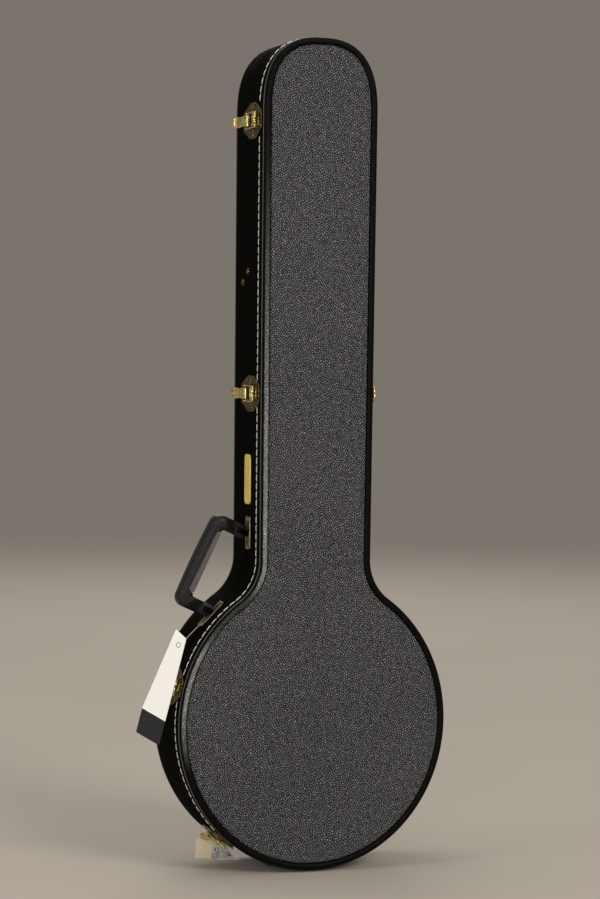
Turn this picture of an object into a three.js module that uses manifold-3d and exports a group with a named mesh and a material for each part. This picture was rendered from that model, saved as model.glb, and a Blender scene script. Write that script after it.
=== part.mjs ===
// Hard banjo case with a round body end and a long neck end, standing on its round end.
// Millimetres, +Z up. The lid looks towards -Y and the handle side towards -X.
// The origin lies on the floor, under the middle of the case.
import * as THREE from 'three';
import { mergeVertices } from 'three/addons/utils/BufferGeometryUtils.js';
import Module from 'manifold-3d';

const wasm = await Module();
wasm.setup();

// Case outline, seen from the front
const caseLength = 1080;
const boutHalfWidth = 182;
const boutHalfHeight = 192.8;
const neckHalfWidthLow = 75.3;
const neckHalfWidthHigh = 77.4;
const endArchHeight = 97;
const endArchPower = 2.55;
const shoulderRadius = 64;
const floorGap = 2;

// Case depth, from the lid's face to the back
const lidDepth = 45;
const baseDepth = 80;

// Clearances
const seatGap = 0.3;
const seamGap = 0.4;
const runningGap = 0.3;
const cutOverrun = 2;

// Walls, edges and linings
const wallThickness = 5;
const backPanelThickness = 4.8;
const rollWidth = 9;
const rollHeight = 6.2;
const weltHeight = 1.4;
const weltWidth = 1.6;
const weltProud = 0.4;
const bandWidth = 18;
const bandThickness = 0.8;
const bindingWidth = 7.5;
const bindingHeight = 7.5;
const faceBevel = 2;
const faceCrown = 0.6;
const tongueThickness = 2;
const tongueRise = 6;
const tongueFoot = 14;
const tongueClearance = 0.8;
const liningThickness = 3;
const floorLiningThickness = 3.4;

// Places worked out from the sizes above
const frontY = -(lidDepth + baseDepth) / 2;
const seamY = frontY + lidDepth;
const backY = -frontY;
const boutCentreZ = floorGap + boutHalfHeight;
const archBaseZ = floorGap + caseLength - endArchHeight;
const halfSeam = seamGap / 2;

// How finely the outline is divided
const boutSteps = 20;
const shoulderSteps = 6;
const neckSteps = 2;
const archSteps = 9;

const finishes = {
  vinyl: { color: 0x2b2a2b, roughness: 0.62, metalness: 0 },
  sideVinyl: { color: 0x131211, roughness: 0.6, metalness: 0 },
  trim: { color: 0x1a1a1a, roughness: 0.5, metalness: 0 },
  plush: { color: 0x5a1f2b, roughness: 0.95, metalness: 0 },
  gold: { color: 0xc9a24b, roughness: 0.25, metalness: 1 },
  brass: { color: 0x9c7a3a, roughness: 0.35, metalness: 1 },
  steel: { color: 0xb9b9b6, roughness: 0.3, metalness: 1 },
  rubber: { color: 0x161616, roughness: 0.8, metalness: 0 },
  handle: { color: 0x1b1d1d, roughness: 0.55, metalness: 0 },
  core: { color: 0x4a3a2c, roughness: 0.7, metalness: 0 },
  card: { color: 0xe9e6df, roughness: 0.7, metalness: 0 },
  keyCard: { color: 0xd8c9a2, roughness: 0.7, metalness: 0 },
};
const materials = Object.fromEntries(
  Object.entries(finishes).map(([name, look]) => [name, new THREE.MeshStandardMaterial(look)]),
);

const xAxis = new THREE.Vector3(1, 0, 0);
const yAxis = new THREE.Vector3(0, 1, 0);
const zAxis = new THREE.Vector3(0, 0, 1);
const frontward = new THREE.Vector3(0, -1, 0);

function named(name, geometry, material) {
  const mesh = new THREE.Mesh(geometry, materials[material]);
  mesh.name = name;
  return mesh;
}

// Booleans
function toSolid(geometry) {
  const bare = geometry.clone();
  bare.deleteAttribute('normal');
  bare.deleteAttribute('uv');
  const merged = mergeVertices(bare);
  const mesh = new wasm.Mesh({
    numProp: 3,
    vertProperties: new Float32Array(merged.attributes.position.array),
    triVerts: new Uint32Array(merged.index.array),
  });
  return new wasm.Manifold(mesh);
}

function fromSolid(solid) {
  const mesh = solid.getMesh();
  const geometry = new THREE.BufferGeometry();
  geometry.setAttribute('position', new THREE.BufferAttribute(new Float32Array(mesh.vertProperties), 3));
  geometry.setIndex(new THREE.BufferAttribute(new Uint32Array(mesh.triVerts), 1));
  return geometry;
}

function joined(...pieces) {
  return fromSolid(pieces.map(toSolid).reduce((whole, piece) => whole.add(piece)));
}

function cut(body, ...tools) {
  return fromSolid(tools.map(toSolid).reduce((rest, tool) => rest.subtract(tool), toSolid(body)));
}

// Closed solids from rings of points
function ringArea(ring) {
  return THREE.ShapeUtils.area(ring);
}

function capFaces(flatRing) {
  const turn = Math.sign(ringArea(flatRing));
  return THREE.ShapeUtils.triangulateShape(flatRing, []).map(([a, b, c]) => {
    const side = Math.sign(ringArea([flatRing[a], flatRing[b], flatRing[c]]));
    return side === turn ? [a, b, c] : [a, c, b];
  });
}

function signedVolume(points, index) {
  let volume = 0;
  for (let i = 0; i < index.length; i += 3) {
    const [a, b, c] = [points[index[i]], points[index[i + 1]], points[index[i + 2]]];
    volume += a.dot(b.clone().cross(c));
  }
  return volume;
}

// flatten gives each end ring as flat points; without it the rings close on themselves
function solidFromRings(rings, flatten) {
  const count = rings[0].length;
  const points = rings.flat();
  const index = [];
  const spans = flatten ? rings.length - 1 : rings.length;
  for (let r = 0; r < spans; r++) {
    const here = r * count;
    const next = ((r + 1) % rings.length) * count;
    for (let i = 0; i < count; i++) {
      const j = (i + 1) % count;
      index.push(here + i, here + j, next + j, here + i, next + j, next + i);
    }
  }
  if (flatten) {
    const last = (rings.length - 1) * count;
    capFaces(rings[0].map(flatten)).forEach(([a, b, c]) => index.push(a, c, b));
    const endFaces = capFaces(rings[rings.length - 1].map(flatten));
    endFaces.forEach(([a, b, c]) => index.push(last + a, last + b, last + c));
  }
  if (signedVolume(points, index) < 0) index.reverse();
  const geometry = new THREE.BufferGeometry().setFromPoints(points);
  geometry.setIndex(index);
  return geometry;
}

// Case outline: each station has a place and the outward direction there
function boutStation(angle) {
  const place = new THREE.Vector2(
    boutHalfWidth * Math.cos(angle),
    boutCentreZ + boutHalfHeight * Math.sin(angle),
  );
  const outward = new THREE.Vector2(
    boutHalfHeight * Math.cos(angle),
    boutHalfWidth * Math.sin(angle),
  ).normalize();
  return { place, outward };
}

const neckLow = new THREE.Vector2(neckHalfWidthLow, boutCentreZ + boutHalfHeight);
const neckHigh = new THREE.Vector2(neckHalfWidthHigh, archBaseZ);
const neckRun = neckHigh.clone().sub(neckLow).normalize();
const neckOutward = new THREE.Vector2(neckRun.y, -neckRun.x);

function shoulderCentre(angle) {
  const { place, outward } = boutStation(angle);
  return place.addScaledVector(outward, shoulderRadius);
}

// The angle on the bout where the shoulder's round starts
function shoulderStart() {
  let low = 0;
  let high = Math.PI / 2;
  for (let i = 0; i < 50; i++) {
    const middle = (low + high) / 2;
    const outside = shoulderCentre(middle).sub(neckLow).dot(neckOutward) > shoulderRadius;
    if (outside) low = middle;
    else high = middle;
  }
  return (low + high) / 2;
}

function archStation(angle) {
  const across = Math.cos(angle) ** (2 / endArchPower);
  const up = Math.sin(angle) ** (2 / endArchPower);
  const place = new THREE.Vector2(neckHalfWidthHigh * across, archBaseZ + endArchHeight * up);
  const outward = new THREE.Vector2(
    across ** (endArchPower - 1) / neckHalfWidthHigh,
    up ** (endArchPower - 1) / endArchHeight,
  ).normalize();
  return { place, outward };
}

function neckStation(height) {
  const share = (height - neckLow.y) / (neckHigh.y - neckLow.y);
  return { place: neckLow.clone().lerp(neckHigh, share), outward: neckOutward.clone() };
}

function turnOf(direction) {
  return (Math.atan2(direction.y, direction.x) + 2 * Math.PI) % (2 * Math.PI);
}

function rightStations() {
  const start = shoulderStart();
  const stations = [];
  for (let i = 0; i < boutSteps; i++) {
    stations.push(boutStation(-Math.PI / 2 + (start + Math.PI / 2) * (i / boutSteps)));
  }
  const centre = shoulderCentre(start);
  const from = turnOf(boutStation(start).outward.negate());
  const to = turnOf(neckOutward.clone().negate());
  for (let i = 0; i <= shoulderSteps; i++) {
    const angle = from + (to - from) * (i / shoulderSteps);
    const inward = new THREE.Vector2(Math.cos(angle), Math.sin(angle));
    const place = centre.clone().addScaledVector(inward, shoulderRadius);
    stations.push({ place, outward: inward.negate() });
  }
  const neckFoot = stations[stations.length - 1].place.y;
  for (let i = 1; i < neckSteps; i++) {
    stations.push(neckStation(neckFoot + (archBaseZ - neckFoot) * (i / neckSteps)));
  }
  for (let i = 0; i <= archSteps; i++) {
    stations.push(archStation((Math.PI / 2) * (i / archSteps)));
  }
  return stations;
}

function mirrored({ place, outward }) {
  return {
    place: new THREE.Vector2(-place.x, place.y),
    outward: new THREE.Vector2(-outward.x, outward.y),
  };
}

const rightSide = rightStations();
const outline = [...rightSide, ...rightSide.slice(1, -1).reverse().map(mirrored)];

function outlineRing([inset, depth]) {
  return outline.map(({ place, outward }) => {
    const point = place.clone().addScaledVector(outward, -inset);
    return new THREE.Vector3(point.x, depth, point.y);
  });
}

// A band that runs round the case, from its section in inset and depth
function rim(section) {
  return solidFromRings(section.map(outlineRing));
}

// A board of the case's outline, from its edge in inset and depth
function board(edge) {
  return solidFromRings(edge.map(outlineRing), (point) => new THREE.Vector2(point.x, point.z));
}

// Extrusions
function extruded(points, start, end) {
  const geometry = new THREE.ExtrudeGeometry(new THREE.Shape(points), {
    depth: end - start,
    bevelEnabled: false,
  });
  return geometry.translate(0, 0, start);
}

// Points in Y and Z, extruded along X
function extrudedX(points, start, end) {
  return extruded(points, start, end).applyMatrix4(new THREE.Matrix4().makeBasis(yAxis, zAxis, xAxis));
}

// Points in X and Z, extruded from one depth to another
function extrudedY(points, near, far) {
  return extruded(points, -far, -near).applyMatrix4(new THREE.Matrix4().makeBasis(xAxis, zAxis, frontward));
}

function at(x, y) {
  return new THREE.Vector2(x, y);
}

function rectangle(left, right, low, high) {
  return [at(left, low), at(right, low), at(right, high), at(left, high)];
}

function rodX(radius, start, end, sides) {
  const rod = new THREE.CylinderGeometry(radius, radius, end - start, sides);
  return rod.rotateZ(-Math.PI / 2).translate((start + end) / 2, 0, 0);
}

function rodZ(radius, low, high, sides) {
  const rod = new THREE.CylinderGeometry(radius, radius, high - low, sides);
  return rod.rotateX(Math.PI / 2).translate(0, 0, (low + high) / 2);
}

// A group on the side wall: X runs along the wall, Y across the seam to the lid, Z outward
function wallFrame({ place, outward }) {
  const away = new THREE.Vector3(outward.x, 0, outward.y);
  const along = frontward.clone().cross(away);
  const frame = new THREE.Matrix4().makeBasis(along, frontward, away);
  frame.setPosition(place.x, seamY, place.y);
  return frame;
}

function placed(frame, ...meshes) {
  const group = new THREE.Group();
  frame.decompose(group.position, group.quaternion, group.scale);
  if (meshes.length) group.add(...meshes);
  return group;
}

// Base shell
function baseShell() {
  const wallEnd = backY - bindingHeight;
  const panelIn = backY - backPanelThickness;
  const tongueOut = wallThickness + seatGap;
  const tongueFree = wallThickness + tongueClearance;
  const tongueIn = tongueOut + tongueThickness;
  const tongueEnd = seamY + tongueFoot;
  const liningStep = tongueIn + seatGap;
  const liningIn = liningStep + liningThickness;
  const liningEnd = panelIn - seatGap - floorLiningThickness;
  const wall = rim([
    [0, seamY + halfSeam],
    [0, wallEnd - seatGap],
    [wallThickness, wallEnd - seatGap],
    [wallThickness, seamY + halfSeam],
  ]);
  const cornerShares = [[0, 0.35], [0.18, 0.72], [0.5, 0.93], [1, 1]];
  const bindingCorner = cornerShares.map(([inShare, outShare]) => [
    bindingWidth * inShare,
    wallEnd + bindingHeight * outShare,
  ]);
  const binding = rim([[0, wallEnd], ...bindingCorner, [bindingWidth, wallEnd]]);
  const panelEdge = bindingWidth + seatGap;
  const panel = board([
    [panelEdge, panelIn],
    [panelEdge, backY],
  ]);
  const tongue = rim([
    [tongueFree, seamY - tongueRise],
    [tongueFree, seamY + halfSeam],
    [tongueOut, seamY + halfSeam],
    [tongueOut, tongueEnd],
    [tongueIn, tongueEnd],
    [tongueIn, seamY - tongueRise],
  ]);
  const wallLining = rim([
    [liningStep, seamY + halfSeam],
    [liningStep, tongueEnd + seatGap],
    [tongueOut, tongueEnd + seatGap],
    [tongueOut, liningEnd],
    [liningIn, liningEnd],
    [liningIn, seamY + halfSeam],
  ]);
  const floorLining = board([
    [liningStep, liningEnd + seatGap],
    [liningStep, panelIn - seatGap],
  ]);
  return [
    named('base_side_wall', wall, 'sideVinyl'),
    named('base_edge_binding', binding, 'trim'),
    named('base_back_panel', panel, 'vinyl'),
    named('base_rim_tongue', tongue, 'trim'),
    named('base_wall_lining', wallLining, 'plush'),
    named('base_floor_lining', floorLining, 'plush'),
  ];
}

// Lid shell
function lidShell() {
  const rollFoot = frontY + rollHeight;
  const weltTop = rollFoot + seatGap;
  const weltFoot = weltTop + weltHeight;
  const wallTop = weltFoot + seatGap;
  const bandFoot = wallTop + bandWidth;
  const bandSeat = bandThickness + seatGap;
  const panelEdge = rollWidth + seatGap;
  const liningOut = wallThickness + seatGap;
  const liningIn = liningOut + liningThickness;
  const liningFoot = seamY - tongueRise - tongueClearance;
  const faceLiningIn = weltTop + liningThickness;
  const wall = rim([
    [0, seamY - halfSeam],
    [wallThickness, seamY - halfSeam],
    [wallThickness, wallTop],
    [bandSeat, wallTop],
    [bandSeat, bandFoot + seatGap],
    [0, bandFoot + seatGap],
  ]);
  const band = rim([
    [0, wallTop],
    [0, bandFoot],
    [bandThickness, bandFoot],
    [bandThickness, wallTop],
  ]);
  const welt = rim([
    [-weltProud, weltTop],
    [-weltProud, weltFoot],
    [weltWidth, weltFoot],
    [weltWidth, weltTop],
  ]);
  const rollShares = [
    [0, 1],
    [0, 0.62],
    [0.12, 0.28],
    [0.32, 0.07],
    [0.55, 0],
    [0.82, 0.12],
    [1, 0.42],
    [1, 1],
  ];
  const roll = rim(rollShares.map(([across, down]) => [rollWidth * across, frontY + rollHeight * down]));
  const panel = board([
    [panelEdge, rollFoot],
    [panelEdge, frontY + faceCrown + faceBevel],
    [panelEdge + faceBevel, frontY + faceCrown],
    [panelEdge + rollWidth, frontY + seatGap],
  ]);
  const wallLining = rim([
    [liningOut, liningFoot],
    [liningOut, faceLiningIn + seatGap],
    [liningIn, faceLiningIn + seatGap],
    [liningIn, liningFoot],
  ]);
  const faceLining = board([
    [liningOut, faceLiningIn],
    [liningOut, weltTop],
  ]);
  return [
    named('lid_side_wall', wall, 'sideVinyl'),
    named('lid_stitched_band', band, 'sideVinyl'),
    named('lid_welt', welt, 'trim'),
    named('lid_edge_roll', roll, 'vinyl'),
    named('lid_panel', panel, 'vinyl'),
    named('lid_wall_lining', wallLining, 'plush'),
    named('lid_panel_lining', faceLining, 'plush'),
  ];
}

// Heights of the fittings up the side of the neck, each from the one below
const handleBarLength = 43;
const sidePlateLength = 65;
const latchPlateWidth = 47;
const sideSpacing = { bar: 52.4, plate: 16, latch: 56, endLatch: 10, rivetShares: [0.4504, 0.4108] };
const sideRow = {};
sideRow.bar = neckLow.y + sideSpacing.bar;
sideRow.plate = sideRow.bar + handleBarLength / 2 + sideSpacing.plate + sidePlateLength / 2;
sideRow.middleLatch = sideRow.plate + sidePlateLength / 2 + sideSpacing.latch + latchPlateWidth / 2;
sideRow.endLatch = archBaseZ - sideSpacing.endLatch;
sideRow.rivets = sideSpacing.rivetShares.map((share) => (
  THREE.MathUtils.lerp(sideRow.middleLatch, sideRow.endLatch, share)
));

// Latches: each is a toggle lever on a base plate, a bail, and a catch on the lid
const latch = {
  plateThickness: 1.6,
  plateEndWidth: 22,
  basePlateLength: 41,
  catchPlateLength: 33,
  seamSetback: 0.8,
  straightShare: 0.3,
  pivotSetback: 8,
  pivotHeight: 6.5,
  pinRadius: 1.3,
  knuckleRadius: 2.8,
  earThickness: 1.3,
  earFoot: 4,
  leverWidth: 14,
  leverThickness: 1.8,
  bendThickness: 2.7,
  tipThickness: 3.6,
  leverReach: 30,
  tabRun: 8,
  tabRise: 5.6,
  cheekThickness: 1.5,
  cheekReach: 14,
  cheekDrop: 3.2,
  toggleSetback: 9,
  toggleDrop: 1.8,
  stubRadius: 1.1,
  eyeWall: 0.9,
  armThickness: 1.5,
  armHeight: 1.6,
  bailReach: 43,
  bailRise: 3.3,
  rollRadius: 2.2,
  bridgeLength: 15,
  ridgeSetback: 17,
  ridgeLength: 6.5,
  ridgeSlope: 1.5,
  ridgeHeight: 2,
  sideGap: 0.4,
  pinSides: 10,
  knuckleSides: 14,
};
const pivotAt = at(-latch.pivotSetback, latch.pivotHeight);
const toggleAt = at(-latch.pivotSetback - latch.toggleSetback, latch.pivotHeight - latch.toggleDrop);
const plateTop = seatGap + latch.plateThickness;
const leverHalf = latch.leverWidth / 2;
const earInner = leverHalf + latch.sideGap;
const earOuter = earInner + latch.earThickness;
const armInner = earOuter + latch.sideGap;
const armOuter = armInner + latch.armThickness;

// Half of the six-sided plate, from the seam outward
function latchPlate(length, side) {
  const half = latchPlateWidth / 2;
  const endHalf = latch.plateEndWidth / 2;
  const near = side * latch.seamSetback;
  const straight = side * length * latch.straightShare;
  const far = side * length;
  const corners = [at(-half, near), at(half, near), at(half, straight), at(endHalf, far)];
  const points = [...corners, at(-endHalf, far), at(-half, straight)];
  return extruded(points, seatGap, plateTop);
}

function latchBase() {
  const foot = seatGap + latch.plateThickness / 2;
  const top = latch.pivotHeight + latch.knuckleRadius;
  const shoulder = latch.earFoot / 2;
  const earPoints = [
    at(pivotAt.x - latch.earFoot, foot),
    at(pivotAt.x + latch.earFoot, foot),
    at(pivotAt.x + latch.earFoot, latch.pivotHeight),
    at(pivotAt.x + shoulder, top),
    at(pivotAt.x - shoulder, top),
    at(pivotAt.x - latch.earFoot, latch.pivotHeight),
  ];
  const ears = [1, -1].map((side) => {
    const [start, end] = [side * earInner, side * earOuter].sort((a, b) => a - b);
    return extrudedX(earPoints, start, end);
  });
  const pin = rodX(latch.pinRadius, -earOuter, earOuter, latch.pinSides);
  pin.translate(0, pivotAt.x, pivotAt.y);
  return joined(latchPlate(latch.basePlateLength, -1), ...ears, pin);
}

function latchLever() {
  const top = latch.pivotHeight + latch.knuckleRadius;
  const bend = pivotAt.x - latch.leverReach;
  const tip = bend - latch.tabRun;
  const skin = latch.leverThickness;
  const plate = extrudedX([
    at(pivotAt.x, top),
    at(bend, top - skin / 2),
    at(tip, top - skin / 2 + latch.tabRise),
    at(tip - skin / 2, top - latch.tipThickness + latch.tabRise),
    at(bend - skin / 2, top - latch.bendThickness),
    at(pivotAt.x, top - skin),
  ], -leverHalf, leverHalf);
  const cheekLow = pivotAt.y - latch.cheekDrop;
  const cheekBack = pivotAt.x - latch.cheekReach;
  const cheekPoints = [
    at(cheekBack, cheekLow),
    at(pivotAt.x, cheekLow),
    at(pivotAt.x + latch.knuckleRadius / 2, pivotAt.y),
    at(pivotAt.x, top - skin / 2),
    at(cheekBack, top - skin),
  ];
  const cheekInner = leverHalf - latch.cheekThickness;
  const cheekSpans = [[cheekInner, leverHalf], [-leverHalf, -cheekInner]];
  const cheeks = cheekSpans.map(([start, end]) => extrudedX(cheekPoints, start, end));
  const knuckle = rodX(latch.knuckleRadius, -leverHalf, leverHalf, latch.knuckleSides);
  knuckle.translate(0, pivotAt.x, pivotAt.y);
  const boreEnd = leverHalf + cutOverrun;
  const bore = rodX(latch.pinRadius + runningGap, -boreEnd, boreEnd, latch.pinSides);
  bore.translate(0, pivotAt.x, pivotAt.y);
  const stubs = [[cheekInner, armOuter], [-armOuter, -cheekInner]].map(([start, end]) => {
    const stub = rodX(latch.stubRadius, start, end, latch.pinSides);
    return stub.translate(0, toggleAt.x, toggleAt.y);
  });
  return joined(cut(joined(plate, ...cheeks, knuckle), bore), ...stubs);
}

function latchBail() {
  const eyeRadius = latch.stubRadius + runningGap + latch.eyeWall;
  const front = at(toggleAt.x + latch.bailReach, toggleAt.y + latch.bailRise);
  const halfHeight = latch.armHeight / 2;
  const armPoints = [
    at(toggleAt.x, toggleAt.y - halfHeight),
    at(front.x, front.y - halfHeight),
    at(front.x, front.y + halfHeight),
    at(toggleAt.x, toggleAt.y + halfHeight),
  ];
  const arms = [[armInner, armOuter], [-armOuter, -armInner]].flatMap(([start, end]) => [
    extrudedX(armPoints, start, end),
    rodX(eyeRadius, start, end, latch.knuckleSides).translate(0, toggleAt.x, toggleAt.y),
  ]);
  const bridgeStart = toggleAt.clone().lerp(front, 1 - latch.bridgeLength / latch.bailReach);
  const bridge = extrudedX([
    at(bridgeStart.x, bridgeStart.y - halfHeight),
    at(front.x, front.y - halfHeight),
    at(front.x, front.y + halfHeight),
    at(bridgeStart.x, bridgeStart.y + halfHeight),
  ], -armOuter, armOuter);
  const roll = rodX(latch.rollRadius, -armOuter, armOuter, latch.knuckleSides);
  roll.translate(0, front.x, front.y);
  const boreEnd = armOuter + cutOverrun;
  const bore = rodX(latch.stubRadius + runningGap, -boreEnd, boreEnd, latch.pinSides);
  bore.translate(0, toggleAt.x, toggleAt.y);
  return cut(joined(...arms, bridge, roll), bore);
}

function latchCatch() {
  const foot = seatGap + latch.plateThickness / 2;
  const top = plateTop + latch.ridgeHeight;
  const near = latch.ridgeSetback;
  const far = near + latch.ridgeLength;
  const ridge = extrudedX([
    at(near, foot),
    at(far, foot),
    at(far - latch.ridgeSlope, top),
    at(near + latch.ridgeSlope, top),
  ], -leverHalf, leverHalf);
  return joined(latchPlate(latch.catchPlateLength, 1), ridge);
}

const degree = Math.PI / 180;
const latchAngles = { upperBout: 14.4, lowerBout: -51 };
const latchPlaces = {
  end: mirrored(neckStation(sideRow.endLatch)),
  middle: mirrored(neckStation(sideRow.middleLatch)),
  hinge_side: neckStation(sideRow.middleLatch),
  upper_bout: mirrored(boutStation(latchAngles.upperBout * degree)),
  lower_bout: mirrored(boutStation(latchAngles.lowerBout * degree)),
};

function latches() {
  const shapes = { plate: latchBase(), lever: latchLever(), bail: latchBail(), catch: latchCatch() };
  return Object.entries(latchPlaces).map(([place, station]) => {
    const pieces = Object.entries(shapes).map(([piece, shape]) => (
      named(`${place}_latch_${piece}`, shape, 'gold')
    ));
    return placed(wallFrame(station), ...pieces);
  });
}

// Hinges on the far side of the round end, on one upright line
const hinge = {
  length: 32,
  spread: 36,
  leafDepth: 17,
  leafThickness: 1.8,
  seamSetback: 0.5,
  barrelStandoff: 5.5,
  barrelRadius: 3,
  pinRadius: 1.2,
  pinProud: 0.8,
  webSetback: 0.25,
  webThickness: 2.5,
  outerShare: 0.3,
  steps: 4,
  sides: 14,
};
const hingeX = boutHalfWidth + hinge.barrelStandoff;

// A strip that follows the bout between two heights, or fills out to the hinge line
function boutStrip(low, high, near, far) {
  const angleOf = (height) => Math.asin((height - boutCentreZ) / boutHalfHeight);
  const inner = [];
  for (let i = 0; i <= hinge.steps; i++) {
    const angle = angleOf(low) + (angleOf(high) - angleOf(low)) * (i / hinge.steps);
    inner.push(boutStation(angle));
  }
  const shifted = (distance) => inner.map(({ place, outward }) => (
    place.clone().addScaledVector(outward, distance)
  ));
  const outer = far === undefined ? [at(hingeX, high), at(hingeX, low)] : shifted(far).reverse();
  return [...shifted(near), ...outer];
}

function hingeLeaf(low, side, spans) {
  const high = low + hinge.length;
  const plateNear = side * hinge.seamSetback;
  const plateFar = side * (hinge.seamSetback + hinge.leafDepth);
  const webNear = side * hinge.webSetback;
  const webFar = side * (hinge.webSetback + hinge.webThickness);
  const across = (a, b) => [seamY + Math.min(a, b), seamY + Math.max(a, b)];
  const thick = seatGap + hinge.leafThickness;
  const plate = extrudedY(boutStrip(low, high, seatGap, thick), ...across(plateNear, plateFar));
  const knuckles = spans.flatMap(([start, end]) => {
    const [from, to] = [low + start, low + end];
    const barrel = rodZ(hinge.barrelRadius, from, to, hinge.sides).translate(hingeX, seamY, 0);
    return [barrel, extrudedY(boutStrip(from, to, seatGap), ...across(webNear, webFar))];
  });
  const bore = rodZ(hinge.pinRadius + runningGap, low - cutOverrun, high + cutOverrun, hinge.sides);
  return cut(joined(plate, ...knuckles), bore.translate(hingeX, seamY, 0));
}

function hinges() {
  const outer = hinge.length * hinge.outerShare;
  const far = hinge.length - outer;
  return [['upper', 1], ['lower', -1]].flatMap(([place, side]) => {
    const low = boutCentreZ + side * hinge.spread - hinge.length / 2;
    const high = low + hinge.length;
    const baseLeaf = hingeLeaf(low, 1, [[0, outer], [far, hinge.length]]);
    const lidLeaf = hingeLeaf(low, -1, [[outer + runningGap, far - runningGap]]);
    const pin = rodZ(hinge.pinRadius, low - hinge.pinProud, high + hinge.pinProud, hinge.sides);
    return [
      named(`${place}_hinge_base_leaf`, baseLeaf, 'brass'),
      named(`${place}_hinge_lid_leaf`, lidLeaf, 'brass'),
      named(`${place}_hinge_pin`, pin.translate(hingeX, seamY, 0), 'steel'),
    ];
  });
}

// Carrying handle, turning on the line through its two brackets
const handle = {
  depth: -8,
  upperPivotRise: 7,
  upperStandoff: 10.5,
  lowerPivotAngle: 46.23,
  lowerStandoff: 9.95,
  armThickness: 17.4,
  upperArmMiddle: 4.2,
  lowerArmMiddle: 0.5,
  endDrop: 7,
  endHalfWidth: 4.5,
  gripHalfWidth: 11,
  taperStartShare: 0.46,
  outerEdge: { upper: 41.8, lower: 45.2, bow: 1.2, corner: 12.7 },
  innerEdge: { upper: 24.4, lower: 26.2, bow: 0, corner: 3.5 },
  swingAngle: 70,
  swingGap: 0.6,
  pinRadius: 1.7,
  pinHold: 3.2,
  pinInset: 0.6,
  eyeRadius: 4,
  eyeLength: 7.6,
  eyeGap: 0.4,
  webHalfWidth: 2.5,
  barWidth: 18,
  barThickness: 2,
  lowerBarAngle: 46.4,
  coreInset: 4.2,
  coreUpperThickness: 7.2,
  coreLowerThickness: 9.8,
  coreHalfWidth: 9.8,
  coreProud: 0.3,
  cornerPower: 0.55,
  corePower: 0.4,
  swingSteps: 3,
  armSteps: 4,
  cornerSteps: 4,
  gripSteps: 8,
  coreSteps: 12,
  coreSides: 12,
  sides: 12,
};

function standingOff({ place, outward }, distance) {
  return place.clone().addScaledVector(outward, distance);
}

const upperPivot = standingOff(
  mirrored(neckStation(sideRow.bar + handle.upperPivotRise)),
  handle.upperStandoff,
);
const lowerPivot = standingOff(
  mirrored(boutStation(handle.lowerPivotAngle * degree)),
  handle.lowerStandoff,
);
const handleRun = lowerPivot.clone().sub(upperPivot);
const handleLength = handleRun.length();
handleRun.normalize();

function handleFrame() {
  const along = new THREE.Vector3(handleRun.x, 0, handleRun.y);
  const out = new THREE.Vector3(handleRun.y, 0, -handleRun.x);
  const frame = new THREE.Matrix4().makeBasis(along, out, yAxis);
  return frame.setPosition(upperPivot.x, handle.depth, upperPivot.y);
}

// The two arms and their eyes, along the line through the pivots
const upperArmStart = handle.upperArmMiddle - handle.armThickness / 2;
const lowerArmEnd = handleLength + handle.lowerArmMiddle + handle.armThickness / 2;
const upperEye = handle.upperArmMiddle - handle.eyeLength / 2;
const lowerEye = handleLength + handle.lowerArmMiddle - handle.eyeLength / 2;

// One edge of the handle in its own plane: up an arm, along the grip and down the other arm
function handleEdge(start, end, { upper, lower, bow, corner }) {
  const { lerp } = THREE.MathUtils;
  const points = [];
  const turn = (x, y, from) => {
    for (let i = 0; i <= handle.cornerSteps; i++) {
      const angle = from - (Math.PI / 2) * (i / handle.cornerSteps);
      points.push(at(x + corner * Math.cos(angle), y + corner * Math.sin(angle)));
    }
  };
  for (let i = 0; i < handle.armSteps; i++) {
    points.push(at(start, lerp(-handle.endDrop, upper - corner, i / handle.armSteps)));
  }
  turn(start + corner, upper - corner, Math.PI);
  for (let i = 1; i < handle.gripSteps; i++) {
    const share = i / handle.gripSteps;
    const bulge = 4 * bow * share * (1 - share);
    points.push(at(lerp(start + corner, end - corner, share), lerp(upper, lower, share) + bulge));
  }
  turn(end - corner, lower - corner, Math.PI / 2);
  for (let i = handle.armSteps - 1; i >= 0; i--) {
    points.push(at(end, lerp(-handle.endDrop, lower - corner, i / handle.armSteps)));
  }
  return points;
}

// A softly squared ring between a point of the inner edge and one of the outer edge
function handleRing(inner, outer, halfWidth, power, sides) {
  const squared = (value) => Math.sign(value) * Math.abs(value) ** power;
  const ring = [];
  for (let i = 0; i < sides; i++) {
    const angle = (2 * Math.PI * (i + 0.5)) / sides;
    const place = inner.clone().lerp(outer, (1 + squared(Math.cos(angle))) / 2);
    ring.push(new THREE.Vector3(place.x, place.y, halfWidth * squared(Math.sin(angle))));
  }
  return ring;
}

// Where the wall and a bar would reach into the handle at each angle of its swing
function handleSwingCuts(station) {
  const toHandle = handleFrame().invert().multiply(wallFrame(station));
  const middle = seamY - handle.depth;
  const room = handleBarLength;
  const top = seatGap + handle.barThickness + handle.swingGap;
  const block = extruded(rectangle(-room, room, middle - room, middle + room), -room, top);
  const cuts = [];
  for (let i = -handle.swingSteps; i <= handle.swingSteps; i++) {
    const angle = handle.swingAngle * degree * (i / handle.swingSteps);
    const swing = new THREE.Matrix4().makeRotationX(angle).multiply(toHandle);
    cuts.push(block.clone().applyMatrix4(swing));
  }
  return cuts;
}

// The inner edge of the grip between the two ends of the core
function coreEdge() {
  const { upper, lower } = handle.innerEdge;
  const start = upperArmStart + handle.armThickness;
  const end = lowerArmEnd - handle.armThickness;
  const heightAt = (x) => THREE.MathUtils.mapLinear(x, start, end, upper, lower);
  const ends = [start + handle.coreInset, end - handle.coreInset];
  return ends.map((x) => at(x, heightAt(x)));
}

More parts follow.
